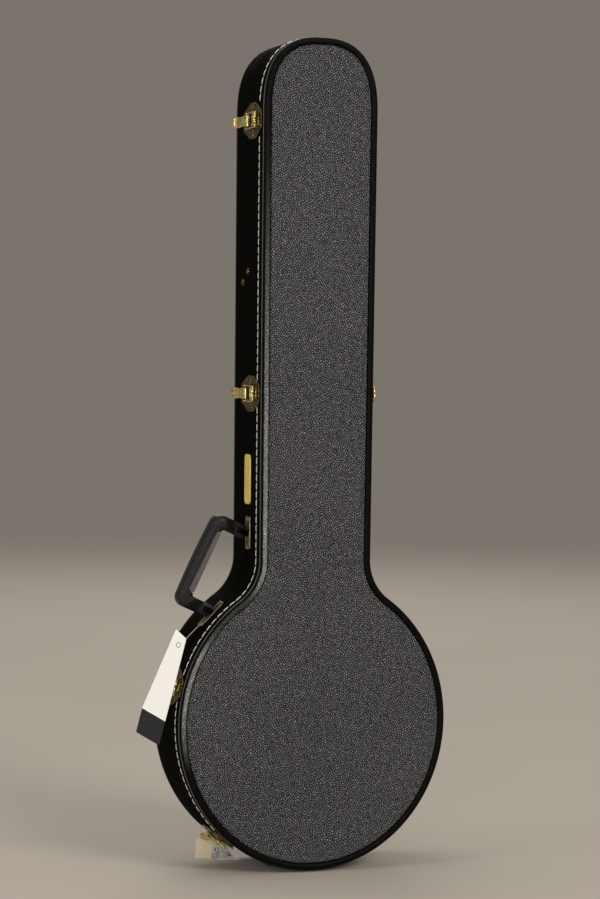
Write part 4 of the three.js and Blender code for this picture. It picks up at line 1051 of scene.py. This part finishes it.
def leverShape():
    skin, radius = latch["lever"] * leverCurve["skin"], latch["knuckle"] - latch["lever"] * 0.45
    shapes = [stripShape(leverLine(radius), skin, leverWidthAt)]
    top = pivot.y + radius
    cheekBack, cheekFoot = pivot.x - latch["cheekReach"], pivot.y - latch["cheekDrop"]
    profile = [(cheekBack, cheekFoot), (pivot.x, cheekFoot), (pivot.x + latch["cheekNose"], pivot.y),
               (pivot.x, top), (cheekBack, top - latch["cheekStep"])]
    profile = roundedPolygon(profile, latch["cheekCorner"], 3)
    inner, outer = leverHalf - latch["cheek"], leverHalf - 0.05
    for side in (1, -1):
        low, high = sorted((side * inner, side * outer))
        shapes.append(laidAcross(slab(profile, low, high, 0.25)))
        low, high = sorted((side * inner, side * armOuter))
        shapes.append(laidAcross(rod(latch["stub"], low, high, 16), toggle.x, toggle.y))
    start, height = pivot.x - leverCurve["ribFrom"], top + skin * 0.5 - leverCurve["ribSink"]
    for x in leverCurve["ribs"]:
        route = [(x, start - leverCurve["ribStep"] * k, height) for k in range(28)]
        shapes.append(tube(route, ribRadiusAt, 8))
    return joinShapes(*shapes)


def hookRadiusAt(share):
    return latch["roll"] * bailCurve["thick"] * math.sqrt(max(0.25, 1 - (2 * share - 1) ** 10))


def bailShape():
    # two arms with eyes, a hook whose front rises in the middle, and a bridge between the arms
    front = toggle + Vector((latch["bailReach"], latch["bailRise"]))
    middleX, shapes = (armInner + armOuter) / 2, []
    for side in (1, -1):
        route = []
        for share in (k / 19 for k in range(20)):
            point = toggle.lerp(front, share)
            route.append((side * middleX, point.x, point.y + bailCurve["arch"] * math.sin(math.pi * share)))
        shapes.append(tube(route, latch["armHeight"] / 2 + 0.05, 12))
        eye = rod(latch["stub"] + bailCurve["eye"], -latch["arm"] / 2, latch["arm"] / 2, 20)
        shapes.append(movedShape(eye, Matrix.Translation((side * middleX, toggle.x, toggle.y)) @ alongX))
    hook = []
    for k in range(49):
        x = armOuter * (k / 24 - 1)
        wave = bailCurve["wave"] * math.cos(x / armOuter * math.pi * 1.5) * (1 - (x / armOuter) ** 6)
        hook.append((x * bailCurve["wide"], front.x - bailCurve["back"] - abs(wave) * bailCurve["swing"],
                     front.y + bailCurve["lift"] * wave))
    shapes.append(tube(hook, hookRadiusAt, 14))
    back = toggle.lerp(front, 1 - latch["bridge"] / latch["bailReach"])
    sheet = [(-armInner, back.x), (armInner, back.x), (armInner, front.x - 1), (-armInner, front.x - 1)]
    bridge = slab(roundedPolygon(sheet, bailCurve["corner"], 4), -bailCurve["sheet"], bailCurve["sheet"])
    slope = Matrix.Rotation(math.atan2(latch["bailRise"], latch["bailReach"]), 4, "X")
    lift = Matrix.Translation((0, toggle.x, toggle.y)) @ slope @ Matrix.Translation((0, -toggle.x, 0))
    return joinShapes(*shapes, movedShape(bridge, lift))


def catchShape():
    near, far = latch["ridgeBack"], latch["ridgeBack"] + latch["ridge"]
    foot, top = shell["gap"] + latch["plate"] / 2, plateTop + latch["ridgeHeight"]
    slope = latch["ridgeSlope"]
    profile = [(near, foot), (far, foot), (far - slope, top), (near + slope, top)]
    profile = roundedPolygon(profile, latch["ridgeCorner"], 4)
    ridge = laidAcross(slab(profile, -leverHalf, leverHalf, 0.6))
    return joinShapes(plateShape(latch["catchLength"], 1), ridge)


def addLatches():
    shapes = {"plate": latchBaseShape(), "lever": leverShape(), "bail": bailShape(), "catch": catchShape()}
    for place, station in latchStations.items():
        bodies = {"plate": "base", "lever": f"{place}_lever", "bail": f"{place}_bail", "catch": "lid"}
        for kind, shape in shapes.items():
            # levers and bails take the pale brass with painted glints; plates and catches take the dark
            # brass with painted shade
            look = "paintedGlintBrass" if kind in ("lever", "bail") else "gold"
            addPiece(f"{place}_gold_{kind}", movedShape(shape, wallMatrix(station)), look, bodies[kind],
                     [f"{place}_latch_{kind}"], 35)


addLatches()
print("latches fitted")


# Handle
handle = {
    "depth": -8, "upperRise": 7, "upperStandoff": 10.5, "lowerAngle": 46.23, "lowerStandoff": 9.95,
    "armThick": 17.4, "upperArm": 4.2, "lowerArm": 0.5, "endDrop": 7, "endWide": 4.5, "endShrink": 0.06,
    "gripWide": 11, "taper": 0.46, "swing": 70, "swingGap": 0.6, "pin": 1.7, "pinHold": 3.2, "eyeRadius": 4,
    "eyeLength": 7.6, "eyeGap": 0.4, "webHalf": 2.5, "barWidth": 18, "bar": 2, "barCorner": 3.4,
    "barRivet": (2.2, 1.0, 0.6), "barRivetIn": 6, "lowerBarAngle": 46.4, "slotDrop": 12,
    "power": 0.5, "armSteps": 16, "cornerSteps": 12, "gripSteps": 70, "sides": 72,
    "seam": 0.45, "seamAt": (0.66, 0.05), "groove": 0.8, "grooveAt": (0.5, 0.06), "seamPad": (0.4, 1.2),
    "wobble": (0.05, 0.03), "wobbleScale": (0.09, 0.4),
}
core = {
    "inset": 4.2, "upper": 7.2, "lower": 9.8, "wide": 9.8, "proud": 0.3, "sink": 6, "corner": 3.0,
    "endRound": 3.4, "power": 0.45, "flute": 0.32, "flutes": 3.4, "steps": 80, "sides": 96,
}
outerEdge = {"upper": 41.8, "lower": 45.2, "bow": 1.2, "corner": 12.7}
innerEdge = {"upper": 24.4, "lower": 26.2, "bow": 0, "corner": 3.5}
upperPlace, upperOut = leftOf(neckStation(barHeight + handle["upperRise"]))
lowerPlace, lowerOut = leftOf(boutStation(math.radians(handle["lowerAngle"])))
upperPivot = upperPlace + upperOut * handle["upperStandoff"]
lowerPivot = lowerPlace + lowerOut * handle["lowerStandoff"]
handleRun = (lowerPivot - upperPivot).normalized()
handleSpan = (lowerPivot - upperPivot).length
handleMatrix = axesMatrix((handleRun.x, 0, handleRun.y), (handleRun.y, 0, -handleRun.x), (0, 1, 0),
                          (upperPivot.x, handle["depth"], upperPivot.y))
armStart = handle["upperArm"] - handle["armThick"] / 2
armEnd = handleSpan + handle["lowerArm"] + handle["armThick"] / 2
innerStart, innerEnd = armStart + handle["armThick"], armEnd - handle["armThick"]
upperEye = handle["upperArm"] - handle["eyeLength"] / 2
lowerEye = handleSpan + handle["lowerArm"] - handle["eyeLength"] / 2
barStations = {
    "upper": leftOf(neckStation(barHeight)),
    "lower": leftOf(boutStation(math.radians(handle["lowerBarAngle"]))),
}


def smooth(value, low, high):
    share = min(1.0, max(0.0, (value - low) / (high - low)))
    return share * share * (3 - 2 * share)


def handleEdge(start, end, edge):
    # up an arm, along the grip and down the other arm
    upper, lower, corner = edge["upper"], edge["lower"], edge["corner"]
    arms, turns, steps = handle["armSteps"], handle["cornerSteps"], handle["gripSteps"]
    drop = -handle["endDrop"]
    points = [(start, drop + (upper - corner - drop) * i / arms) for i in range(arms)]
    for i in range(turns + 1):
        turn = math.pi - math.pi / 2 * i / turns
        points.append((start + corner + corner * math.cos(turn), upper - corner + corner * math.sin(turn)))
    for i in range(1, steps):
        share = i / steps
        bulge = 4 * edge["bow"] * share * (1 - share)
        left, right = start + corner, end - corner
        points.append((left + (right - left) * share, upper + (lower - upper) * share + bulge))
    for i in range(turns + 1):
        turn = math.pi / 2 - math.pi / 2 * i / turns
        points.append((end - corner + corner * math.cos(turn), lower - corner + corner * math.sin(turn)))
    points += [(end, drop + (lower - corner - drop) * i / arms) for i in range(arms - 1, -1, -1)]
    return [Vector(point) for point in points]


def barPlane(place, rise):
    # the plane at a height over a bar's wall in the handle's frame: normal and distance
    toHandle = handleMatrix.inverted() @ wallMatrix(barStations[place])
    normal = (toHandle.to_3x3() @ Vector((0, 0, 1))).normalized()
    return normal, normal.dot(toHandle @ Vector((0, 0, rise)))


swingHeight = shell["gap"] + handle["bar"] + handle["swingGap"]
swingPlanes = {place: barPlane(place, swingHeight) for place in barStations}


def keptClear(point):
    # drawn in towards the axis until the whole swing stays off the wall
    normal, distance = swingPlanes["upper" if point.x < handleSpan / 2 else "lower"]
    room = (normal.x * point.x - distance) / normal.y
    around = math.hypot(point.y, point.z)
    turned = min(math.pi, abs(math.atan2(point.z, point.y)) + math.radians(handle["swing"]))
    deep = -around * math.cos(turned)
    if deep <= room or abs(point.y) > outerEdge["upper"] / 2:
        return point
    return Vector((point.x, point.y * room / deep, point.z * room / deep))


def gripSection(inner, outer, wide, pad):
    # a softly squared section with a raised seam along the outer edge of each broad side
    (ridge, ridgeHalf), (groove, grooveHalf) = handle["seamAt"], handle["grooveAt"]
    ring = []
    for turn in wholeTurn(handle["sides"], 0.5):
        share, sideways = raised(math.cos(turn), handle["power"]), raised(math.sin(turn), handle["power"])
        seam = math.exp(-((share - ridge) / ridgeHalf) ** 2)
        seam -= handle["groove"] * math.exp(-((share - groove) / grooveHalf) ** 2)
        place = inner.lerp(outer, (1 + share) / 2)
        ring.append(Vector((place.x, place.y, sideways * (wide + handle["seam"] * seam * pad))))
    return ring


def gripShape():
    outer = handleEdge(armStart, armEnd, outerEdge)
    inner = handleEdge(innerStart, innerEnd, innerEdge)
    (coarse, fine), (coarseScale, fineScale) = handle["wobble"], handle["wobbleScale"]
    rings, shrink, widens = [], handle["endShrink"], handle["gripWide"] - handle["endWide"]
    for i, (near, far) in enumerate(zip(inner, outer)):
        fromEnd = min(i, len(outer) - 1 - i) / handle["armSteps"]
        wide = handle["endWide"] + widens * smooth(fromEnd, handle["taper"], 1)
        if i in (0, len(outer) - 1):
            near, far, wide = near.lerp(far, shrink), far.lerp(near, shrink), wide * (1 - shrink)
        ring = []
        for point in gripSection(near, far, wide, smooth(fromEnd, *handle["seamPad"])):
            wobble = coarse * noise.noise(point * coarseScale) + fine * noise.noise(point * fineScale)
            ring.append(keptClear(point + Vector((0, wobble, wobble))))
        rings.append(ring)
    return ringsShape(rings)


def innerHeight(x):
    rise = innerEdge["lower"] - innerEdge["upper"]
    return innerEdge["upper"] + rise * (x - innerStart) / (innerEnd - innerStart)


def gripTools():
    # what is cut out of the grip: two slots for the eyes, the core's bed and two bores for the pins
    wide, gap, eyeGap, drop = handle["gripWide"] + 3, shell["gap"], handle["eyeGap"], handle["slotDrop"]
    tools, top = [], handle["eyeRadius"] + eyeGap
    for eye in (upperEye, lowerEye):
        low, high = eye - eyeGap, eye + handle["eyeLength"] + eyeGap
        tools.append(slab([(low, -drop), (high, -drop), (high, top), (low, top)], -wide, wide, 0.1, 1))
    upper, lower = innerStart + core["inset"], innerEnd - core["inset"]
    upperIn, lowerIn = innerHeight(upper), innerHeight(lower)
    corners = [(upper - gap, upperIn - core["sink"]), (lower + gap, lowerIn - core["sink"]),
               (lower + gap, lowerIn + core["lower"] + gap), (upper - gap, upperIn + core["upper"] + gap)]
    tools.append(slab(roundedPolygon(corners, core["corner"], 5), -wide, wide, 0.1, 1))
    hold = eyeGap + handle["pinHold"] + gap
    bores = (armStart - 4, upperEye + handle["eyeLength"] + hold), (lowerEye - hold, armEnd + 4)
    tools += [laidAcross(rod(handle["pin"] + gap, start, end, 24)) for start, end in bores]
    return [movedShape(tool, handleMatrix) for tool in tools]


def coreShape():
    # a fluted bar with rounded ends, set into the inner side of the grip
    upper, lower, rings = innerStart + core["inset"], innerEnd - core["inset"], []
    for k in range(core["steps"] + 1):
        share = k / core["steps"]
        x = upper + (lower - upper) * share
        thick = core["upper"] + (core["lower"] - core["upper"]) * share
        toEnd = min(x - upper, lower - x)
        ends = math.sqrt(max(0.1, 1 - (1 - min(1.0, toEnd / core["endRound"])) ** 2.4))
        ring = []
        for turn in wholeTurn(core["sides"], 0.5):
            c, s = raised(math.cos(turn), core["power"]), raised(math.sin(turn), core["power"])
            flute = core["flute"] * (0.5 - 0.5 * math.cos(c * math.pi * core["flutes"])) * (1 - abs(c) ** 6)
            middle = innerHeight(x) - core["proud"] + (thick + core["proud"]) / 2
            y = middle + c * ends * (thick + core["proud"]) / 2
            ring.append(Vector((x, y, s * (core["wide"] - flute) * (0.9 + 0.1 * ends))))
        rings.append(ring)
    return ringsShape(rings)


def addHandle():
    addPiece("handle_grip_moulded", movedShape(gripShape(), handleMatrix), "handle", "handle",
             ["handle_grip"], 50, gripTools())
    addPiece("handle_core_fluted", movedShape(coreShape(), handleMatrix), "core", "handle",
             ["handle_core"], 60)


def barShape(place):
    half, slim = sideRow["barLength"] / 2, handle["barWidth"] / 2
    middle, high = case["seam"] - handle["depth"], shell["gap"] + handle["bar"]
    corners = [(-half, middle - slim), (half, middle - slim), (half, middle + slim), (-half, middle + slim)]
    edge = turnsLeft(roundedPolygon(corners, handle["barCorner"], 5))
    radius, rise, sink = handle["barRivet"]
    heads = [movedShape(domeHead(radius, rise, high - sink), Matrix.Translation((x, middle, 0)))
             for x in (handle["barRivetIn"] - half, half - handle["barRivetIn"])]
    return movedShape(joinShapes(stampedShape(edge, "bar", shell["gap"], high), *heads),
                      wallMatrix(barStations[place]))


def lugShape(place, eyeStart):
    # the eye round the pin and the web that carries it down into the bar
    eyeEnd = eyeStart + handle["eyeLength"]
    eye = laidAcross(rod(handle["eyeRadius"], eyeStart, eyeEnd, 24, 0.6))
    normal, distance = barPlane(place, shell["gap"] + handle["bar"] / 2)
    foot = [(x, (distance - normal.x * x) / normal.y) for x in (eyeStart, eyeEnd)]
    web = slab([(eyeStart, 0), foot[0], foot[1], (eyeEnd, 0)], -handle["webHalf"], handle["webHalf"], 0.4)
    return movedShape(joinShapes(eye, web), handleMatrix)


def addBrackets():
    for place, eyeStart in (("upper", upperEye), ("lower", lowerEye)):
        addPiece(f"handle_{place}_bar", barShape(place), "antique", "base",
                 [f"handle_{place}_bracket"], 35)
        # the lugs' brass is near black: painted shade under the handle's arms
        addPiece(f"handle_{place}_lug", lugShape(place, eyeStart), "paintedShadeBrass", "base", (), 35)


addHandle()
addBrackets()
print("handle fitted")


# Side plate and rivets
sidePlate = {
    "depth": -5, "width": 24, "corner": 6.5, "thickness": 1.4, "pinInset": 5, "pin": 1.6, "pinHeight": 1,
    "pinSink": 0.05,
}
rivets = {
    "radius": 4.6, "height": 3, "depths": (1, 22), "dome": 0.9, "domeFoot": 0.9, "domeSink": 0.6,
    "flange": ((0, 0.3), (0, 0.6), (0.3, 0.85), (0.8, 0.9)),  # pairs of inset and height
}


def addSidePlate():
    half, slim = sideRow["plateLength"] / 2, sidePlate["width"] / 2
    middle, corner = case["seam"] - sidePlate["depth"], sidePlate["corner"]
    edge = []
    for quarter, (endward, sideward) in enumerate(((1, 1), (-1, 1), (-1, -1), (1, -1))):
        for k in range(9):
            turn = math.pi / 2 * (quarter + k / 8)
            edge.append(Vector((endward * (half - corner) + corner * math.cos(turn),
                                middle + sideward * (slim - corner) + corner * math.sin(turn))))
    high = shell["gap"] + sidePlate["thickness"]
    pin = domeHead(sidePlate["pin"], sidePlate["pinHeight"], high - sidePlate["pinSink"])
    out, matrix = half - sidePlate["pinInset"], wallMatrix(leftOf(neckStation(plateHeight)))
    pins = [movedShape(pin, Matrix.Translation((side * out, middle, 0))) for side in (1, -1)]
    shape = joinShapes(stampedShape(edge, "plate", shell["gap"], high), *pins)
    addPiece("side_plate_brass", movedShape(shape, matrix), "plateGold", "base",
             ["side_plate"], 35)


def addRivets():
    radius, rise = rivets["radius"], rivets["height"] - rivets["domeSink"]
    profile = [(radius - inset, height) for inset, height in rivets["flange"]]
    profile += [((radius - rivets["dome"]) * math.cos(turn), rivets["domeFoot"] + rise * math.sin(turn))
                for turn in quarterTurn(8)]
    for i, (share, depth) in enumerate(zip(sideRow["rivetShares"], rivets["depths"])):
        station = leftOf(neckStation(middleHeight + (endHeight - middleHeight) * share))
        matrix = wallMatrix(station) @ Matrix.Translation((0, case["seam"] - depth, 0))
        addPiece(f"side_rivet_dome_{i + 1}", movedShape(lathe(profile, 32), matrix), "gold", "base",
                 [f"side_rivet_{i + 1}"], 35)


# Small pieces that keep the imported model's faces: their look, slot, and a bevel with its steps
bevelKinds = {
    "leaf": ("antique", "antique_brass", 0.35, 2),
    "pin": ("steel", "steel_pin", 0.3, 2),
    "foot": ("rubber", "foot_rubber", 1.2, 3),
    "card": ("cream", "key_card", 0.3, 2),
}
bevelled = []  # node, new name, kind and body
for place in ("upper", "lower"):
    bevelled += [
        (f"{place}_hinge_base_leaf", f"{place}_hinge_base_brass", "leaf", "base"),
        (f"{place}_hinge_lid_leaf", f"{place}_hinge_lid_brass", "leaf", "lid"),
        (f"{place}_hinge_pin", f"{place}_hinge_pin_steel", "pin", "base"),
        (f"handle_{place}_pin", f"handle_{place}_pin_steel", "pin", "handle"),
    ]
bevelled += [(f"tail_foot_{side}", f"tail_foot_{side}_rubber", "foot", "base") for side in ("right", "left")]
bevelled += [("pocket_hinge_rod", "pocket_rod_steel", "pin", "base"),
             ("key_card", "key_card_paper", "card", "base")]


def nodeCopy(node, name, look):
    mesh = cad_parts[node].data.copy()
    mesh.name = name
    mesh.materials.clear()
    mesh.materials.append(looks[look])
    return addObject(name, mesh)


def addBevelled(node, name, kind, body):
    # the CAD piece's own faces with their edges rounded off
    look, slot, width, segments = bevelKinds[kind]
    piece = nodeCopy(node, name, look)
    work = bmesh.new()
    work.from_mesh(piece.data)
    bmesh.ops.remove_doubles(work, verts=work.verts, dist=2e-6)
    bmesh.ops.dissolve_limit(work, angle_limit=math.radians(2), verts=work.verts, edges=work.edges)
    work.to_mesh(piece.data)
    work.free()
    bevel = piece.modifiers.new("edges", "BEVEL")
    bevel.width, bevel.segments = width * mm, segments
    bevel.limit_method, bevel.angle_limit = "ANGLE", math.radians(32)
    bake(piece)
    sharpen(piece.data, 35)
    fit(piece, body, [node])


# A clear bag with two keys, hung over the card
bag = {
    "corners": ((-111.9, 26.5), (-81.4, 21.1), (-68.6, 1.9), (-107.5, 5.0)), "off": 2.6, "crumple": 1.2,
    "least": 0.5, "film": 0.12, "columns": 44, "rows": 28, "swell": 0.8, "fold": 0.9,
}
keySize = {"bow": 5.2, "hole": 1.7, "holeBack": 2, "blade": 1.7, "reach": 21, "tip": 1.2, "thickness": 1.0}
keyTeeth = ((3, 0), (4, 1.1), (5.5, 0), (7, 0), (8, 1.3), (9.5, 0))  # distance from the tip, and depth
keyPlaces = [{"at": (-103.5, 9.6), "turn": -7, "off": 1.3}, {"at": (-100.5, 17.4), "turn": -24, "off": 2.5}]
filmPaint = {
    "colour": (0.85, 0.86, 0.88, 1), "fold": 13, "haze": 20, "line": 0.022, "least": 0.1, "lineShare": 0.45,
    "hazeShare": 0.3, "relief": 1.2,
}
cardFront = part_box("key_card")[0].y / mm


def filmLook():
    # clear where it is flat, whiter along its folds
    paint = newPaint("clear_film")
    fold, haze = paint.noise(filmPaint["fold"]), paint.noise(filmPaint["haze"])
    line = 1 - paint.step(paint.math("ABSOLUTE", fold - 0.5), 0.0, filmPaint["line"])
    alpha = filmPaint["least"] + line * filmPaint["lineShare"] + haze * filmPaint["hazeShare"]
    return paint.done(colour=filmPaint["colour"], roughness=0.14, specular=0.6, alpha=alpha.clipped(),
                      normal=paint.bump(fold, filmPaint["relief"]))


looks["film"] = filmLook()


def filmPoint(u, v):
    corners = [Vector(corner) for corner in bag["corners"]]
    spot = corners[0].lerp(corners[1], u).lerp(corners[3].lerp(corners[2], u), v)
    swell = 4 * u * (1 - u) * (1 - (2 * v - 1) ** 4)
    fold = noise.noise(Vector((spot.x * 0.16, spot.y * 0.3, 2.0)))
    fold += 0.5 * noise.noise(Vector((spot.x * 0.5, spot.y * 0.4, 7.0)))
    off = bag["off"] + bag["crumple"] * (swell * bag["swell"] + fold * bag["fold"])
    return Vector((spot.x, cardFront - max(bag["least"], off), spot.y))


def addFilm():
    columns, rows, wide = bag["columns"], bag["rows"], bag["columns"] + 1
    front = [filmPoint(i / columns, j / rows) for j in range(rows + 1) for i in range(wide)]
    behind = [point + Vector((0, bag["film"], 0)) for point in front]
    faces, count = [], len(front)
    for j in range(rows):
        for i in range(columns):
            a = j * wide + i
            faces.append((a, a + 1, a + wide + 1, a + wide))
            faces.append(tuple(count + k for k in (a + wide, a + wide + 1, a + 1, a)))
    edge = [*range(columns), *(j * wide + columns for j in range(rows)),
            *(rows * wide + i for i in range(columns, 0, -1)), *(j * wide for j in range(rows, 0, -1))]
    faces += [(b, a, count + a, count + b) for a, b in zip(edge, edge[1:] + edge[:1])]
    film = addPiece("key_bag_film", (front + behind, faces), "film", "base", (), 60)
    area = sum(face.area for face in film.data.polygons) / 2
    top, side = routeLength(front[:wide]) * mm, routeLength(front[columns::wide]) * mm
    width, length = round(top, 4), round(max(area / top, side), 4)
    area = min(area, width * length)
    print(f"bag film {top / mm:.1f} by {side / mm:.1f} mm, area {area / mm ** 2:.0f} mm2")


def addKeys():
    half, bow, reach, thick = keySize["blade"], keySize["bow"], keySize["reach"], keySize["thickness"]
    start = math.asin(half / bow)
    ring = [start + (2 * math.pi - 2 * start) * k / 30 for k in range(31)]
    outline = [(bow * math.cos(turn), bow * math.sin(turn)) for turn in ring]
    outline += [(reach - keySize["tip"], -half), (reach, 0), (reach - keySize["tip"], half)]
    outline += [(reach - back, half - deep) for back, deep in keyTeeth]
    shape = slab(outline, 0, thick, 0.2, 1)
    hole = rod(keySize["hole"], -1, thick + 1, 20, 0.1)
    hole = movedShape(hole, Matrix.Translation((-keySize["holeBack"], 0, 0)))
    for i, key in enumerate(keyPlaces):
        x, z = key["at"]
        place = Matrix.Translation((x, cardFront - key["off"] + thick / 2, z))
        turn = Matrix.Rotation(math.pi / 2, 4, "X") @ Matrix.Rotation(math.radians(key["turn"]), 4, "Z")
        blank, cut = movedShape(shape, place @ turn), movedShape(hole, place @ turn)
        addPiece(f"bag_key_{i + 1}", blank, "antique", "base", (), 35, [cut])


# Covered foam blocks inside: new name, body, size of the remesh and rounds of softening
plushBlocks = {
    "heel_block": ("heel_block_plush", "base", 2.4, 6),
    "neck_cradle": ("neck_cradle_plush", "base", 2.4, 6),
    "pocket_partition_lower": ("pocket_lower_plush", "base", 1.6, 3),
    "pocket_partition_upper": ("pocket_upper_plush", "base", 1.6, 3),
    "pocket_lid": ("pocket_lid_plush", "pocket_lid", 1.2, 3),
}


def addPlush(node, name, body, voxel, rounds):
    piece = nodeCopy(node, name, "plush")
    remesh = piece.modifiers.new("cover", "REMESH")
    remesh.mode, remesh.voxel_size = "VOXEL", voxel * mm
    soften = piece.modifiers.new("soften", "SMOOTH")
    soften.factor, soften.iterations = 0.5, rounds
    bake(piece)
    sharpen(piece.data, 80)
    fit(piece, body, [node])


addSidePlate()
addRivets()
for row in bevelled:
    addBevelled(*row)
addFilm()
addKeys()
for node, row in plushBlocks.items():
    addPlush(node, *row)
print("small pieces fitted")


# Floor, backdrop and light; lengths here are metres
studio = {
    "floor": (178, 170, 160), "grain": 4, "wall": (122, 116, 108), "radius": 9.0, "fade": (0.3, 0.85),
    "sides": 96, "world": 0.4, "worldColour": (1, 0.98, 0.95, 1), "lampColour": (1, 0.97, 0.93),
    "aim": (0, 0, 0.5),
}
lamps = [
    {"name": "key", "place": (1.6, -4.6, 3.2), "size": 2.0, "power": 140},
    {"name": "side", "place": (-3.4, -0.9, 1.6), "size": 0.7, "power": 16},
    {"name": "fill", "place": (-2.0, -4.0, 0.9), "size": 0.6, "tall": 1.0, "power": 44},
    {"name": "glint", "place": (-1.5, -2.3, 0.4), "size": 0.14, "tall": 0.5, "power": 5},
    {"name": "top", "place": (-0.6, 0.4, 4.2), "size": 2.2, "power": 40},
    {"name": "behind", "place": (1.5, 4.2, 3.0), "size": 2.6, "power": 50},
]


def addWorld():
    # the plain wall for the camera and for gloss and glass, soft light for everything else
    paint = Paint(bpy.data.worlds.new("studio"))
    scene.world = paint.owner
    cameraRay, glossyRay, clearRay = (paint.node("LightPath", out=f"Is {kind} Ray")
                                      for kind in ("Camera", "Glossy", "Transmission"))
    seen = paint.math("MAXIMUM", paint.math("MAXIMUM", cameraRay, glossyRay), clearRay)
    light = paint.node("Background", {}, {"Color": studio["worldColour"], "Strength": studio["world"]})
    wall = paint.node("Background", {}, {"Color": sRgb(*studio["wall"]), "Strength": 1.0})
    mixed = paint.node("MixShader", {}, {0: seen, 1: light, 2: wall})
    paint.feed(paint.tree.nodes["World Output"].inputs["Surface"], mixed)


def addFloor():
    # a pale disc that fades out into the wall
    paint = newPaint("studio_floor")
    radius, sides = studio["radius"], studio["sides"]
    far = paint.node("VectorMath", {"operation": "LENGTH"}, {0: paint.place()}, "Value")
    fade = paint.step(far, *(radius * share for share in studio["fade"]))
    darker = [c - studio["grain"] for c in studio["floor"]]
    colour = paint.mix(paint.noise(300), sRgb(*studio["floor"]), sRgb(*darker))
    paint.done(colour=colour, roughness=0.9, specular=0.1)
    shaded = Link(paint, paint.tree.nodes["Principled BSDF"].outputs[0])
    mixed = paint.node("MixShader", {}, {0: fade, 1: shaded, 2: paint.node("BsdfTransparent")})
    paint.feed(paint.tree.nodes["Material Output"].inputs["Surface"], mixed)
    rim = [(radius * math.cos(turn), radius * math.sin(turn), 0) for turn in wholeTurn(sides)]
    mesh = bpy.data.meshes.new("studio_floor")
    mesh.from_pydata([(0, 0, 0), *rim], [], [(0, k + 1, (k + 1) % sides + 1) for k in range(sides)])
    mesh.materials.append(paint.owner)
    addObject("studio_floor", mesh)


def addLamps():
    for lamp in lamps:
        data = bpy.data.lights.new(lamp["name"], "AREA")
        data.energy, data.size, data.shape = lamp["power"], lamp["size"], "RECTANGLE"
        data.size_y, data.color = lamp.get("tall", lamp["size"]), studio["lampColour"]
        item = addObject(lamp["name"], data)
        item.location, item.rotation_mode = lamp["place"], "QUATERNION"
        aim = Vector(studio["aim"]) - Vector(lamp["place"])
        item.rotation_quaternion = aim.to_track_quat("-Z", "Y")


addWorld()
addFloor()
addLamps()
scene.view_settings.view_transform = "Standard"
print("studio lit")
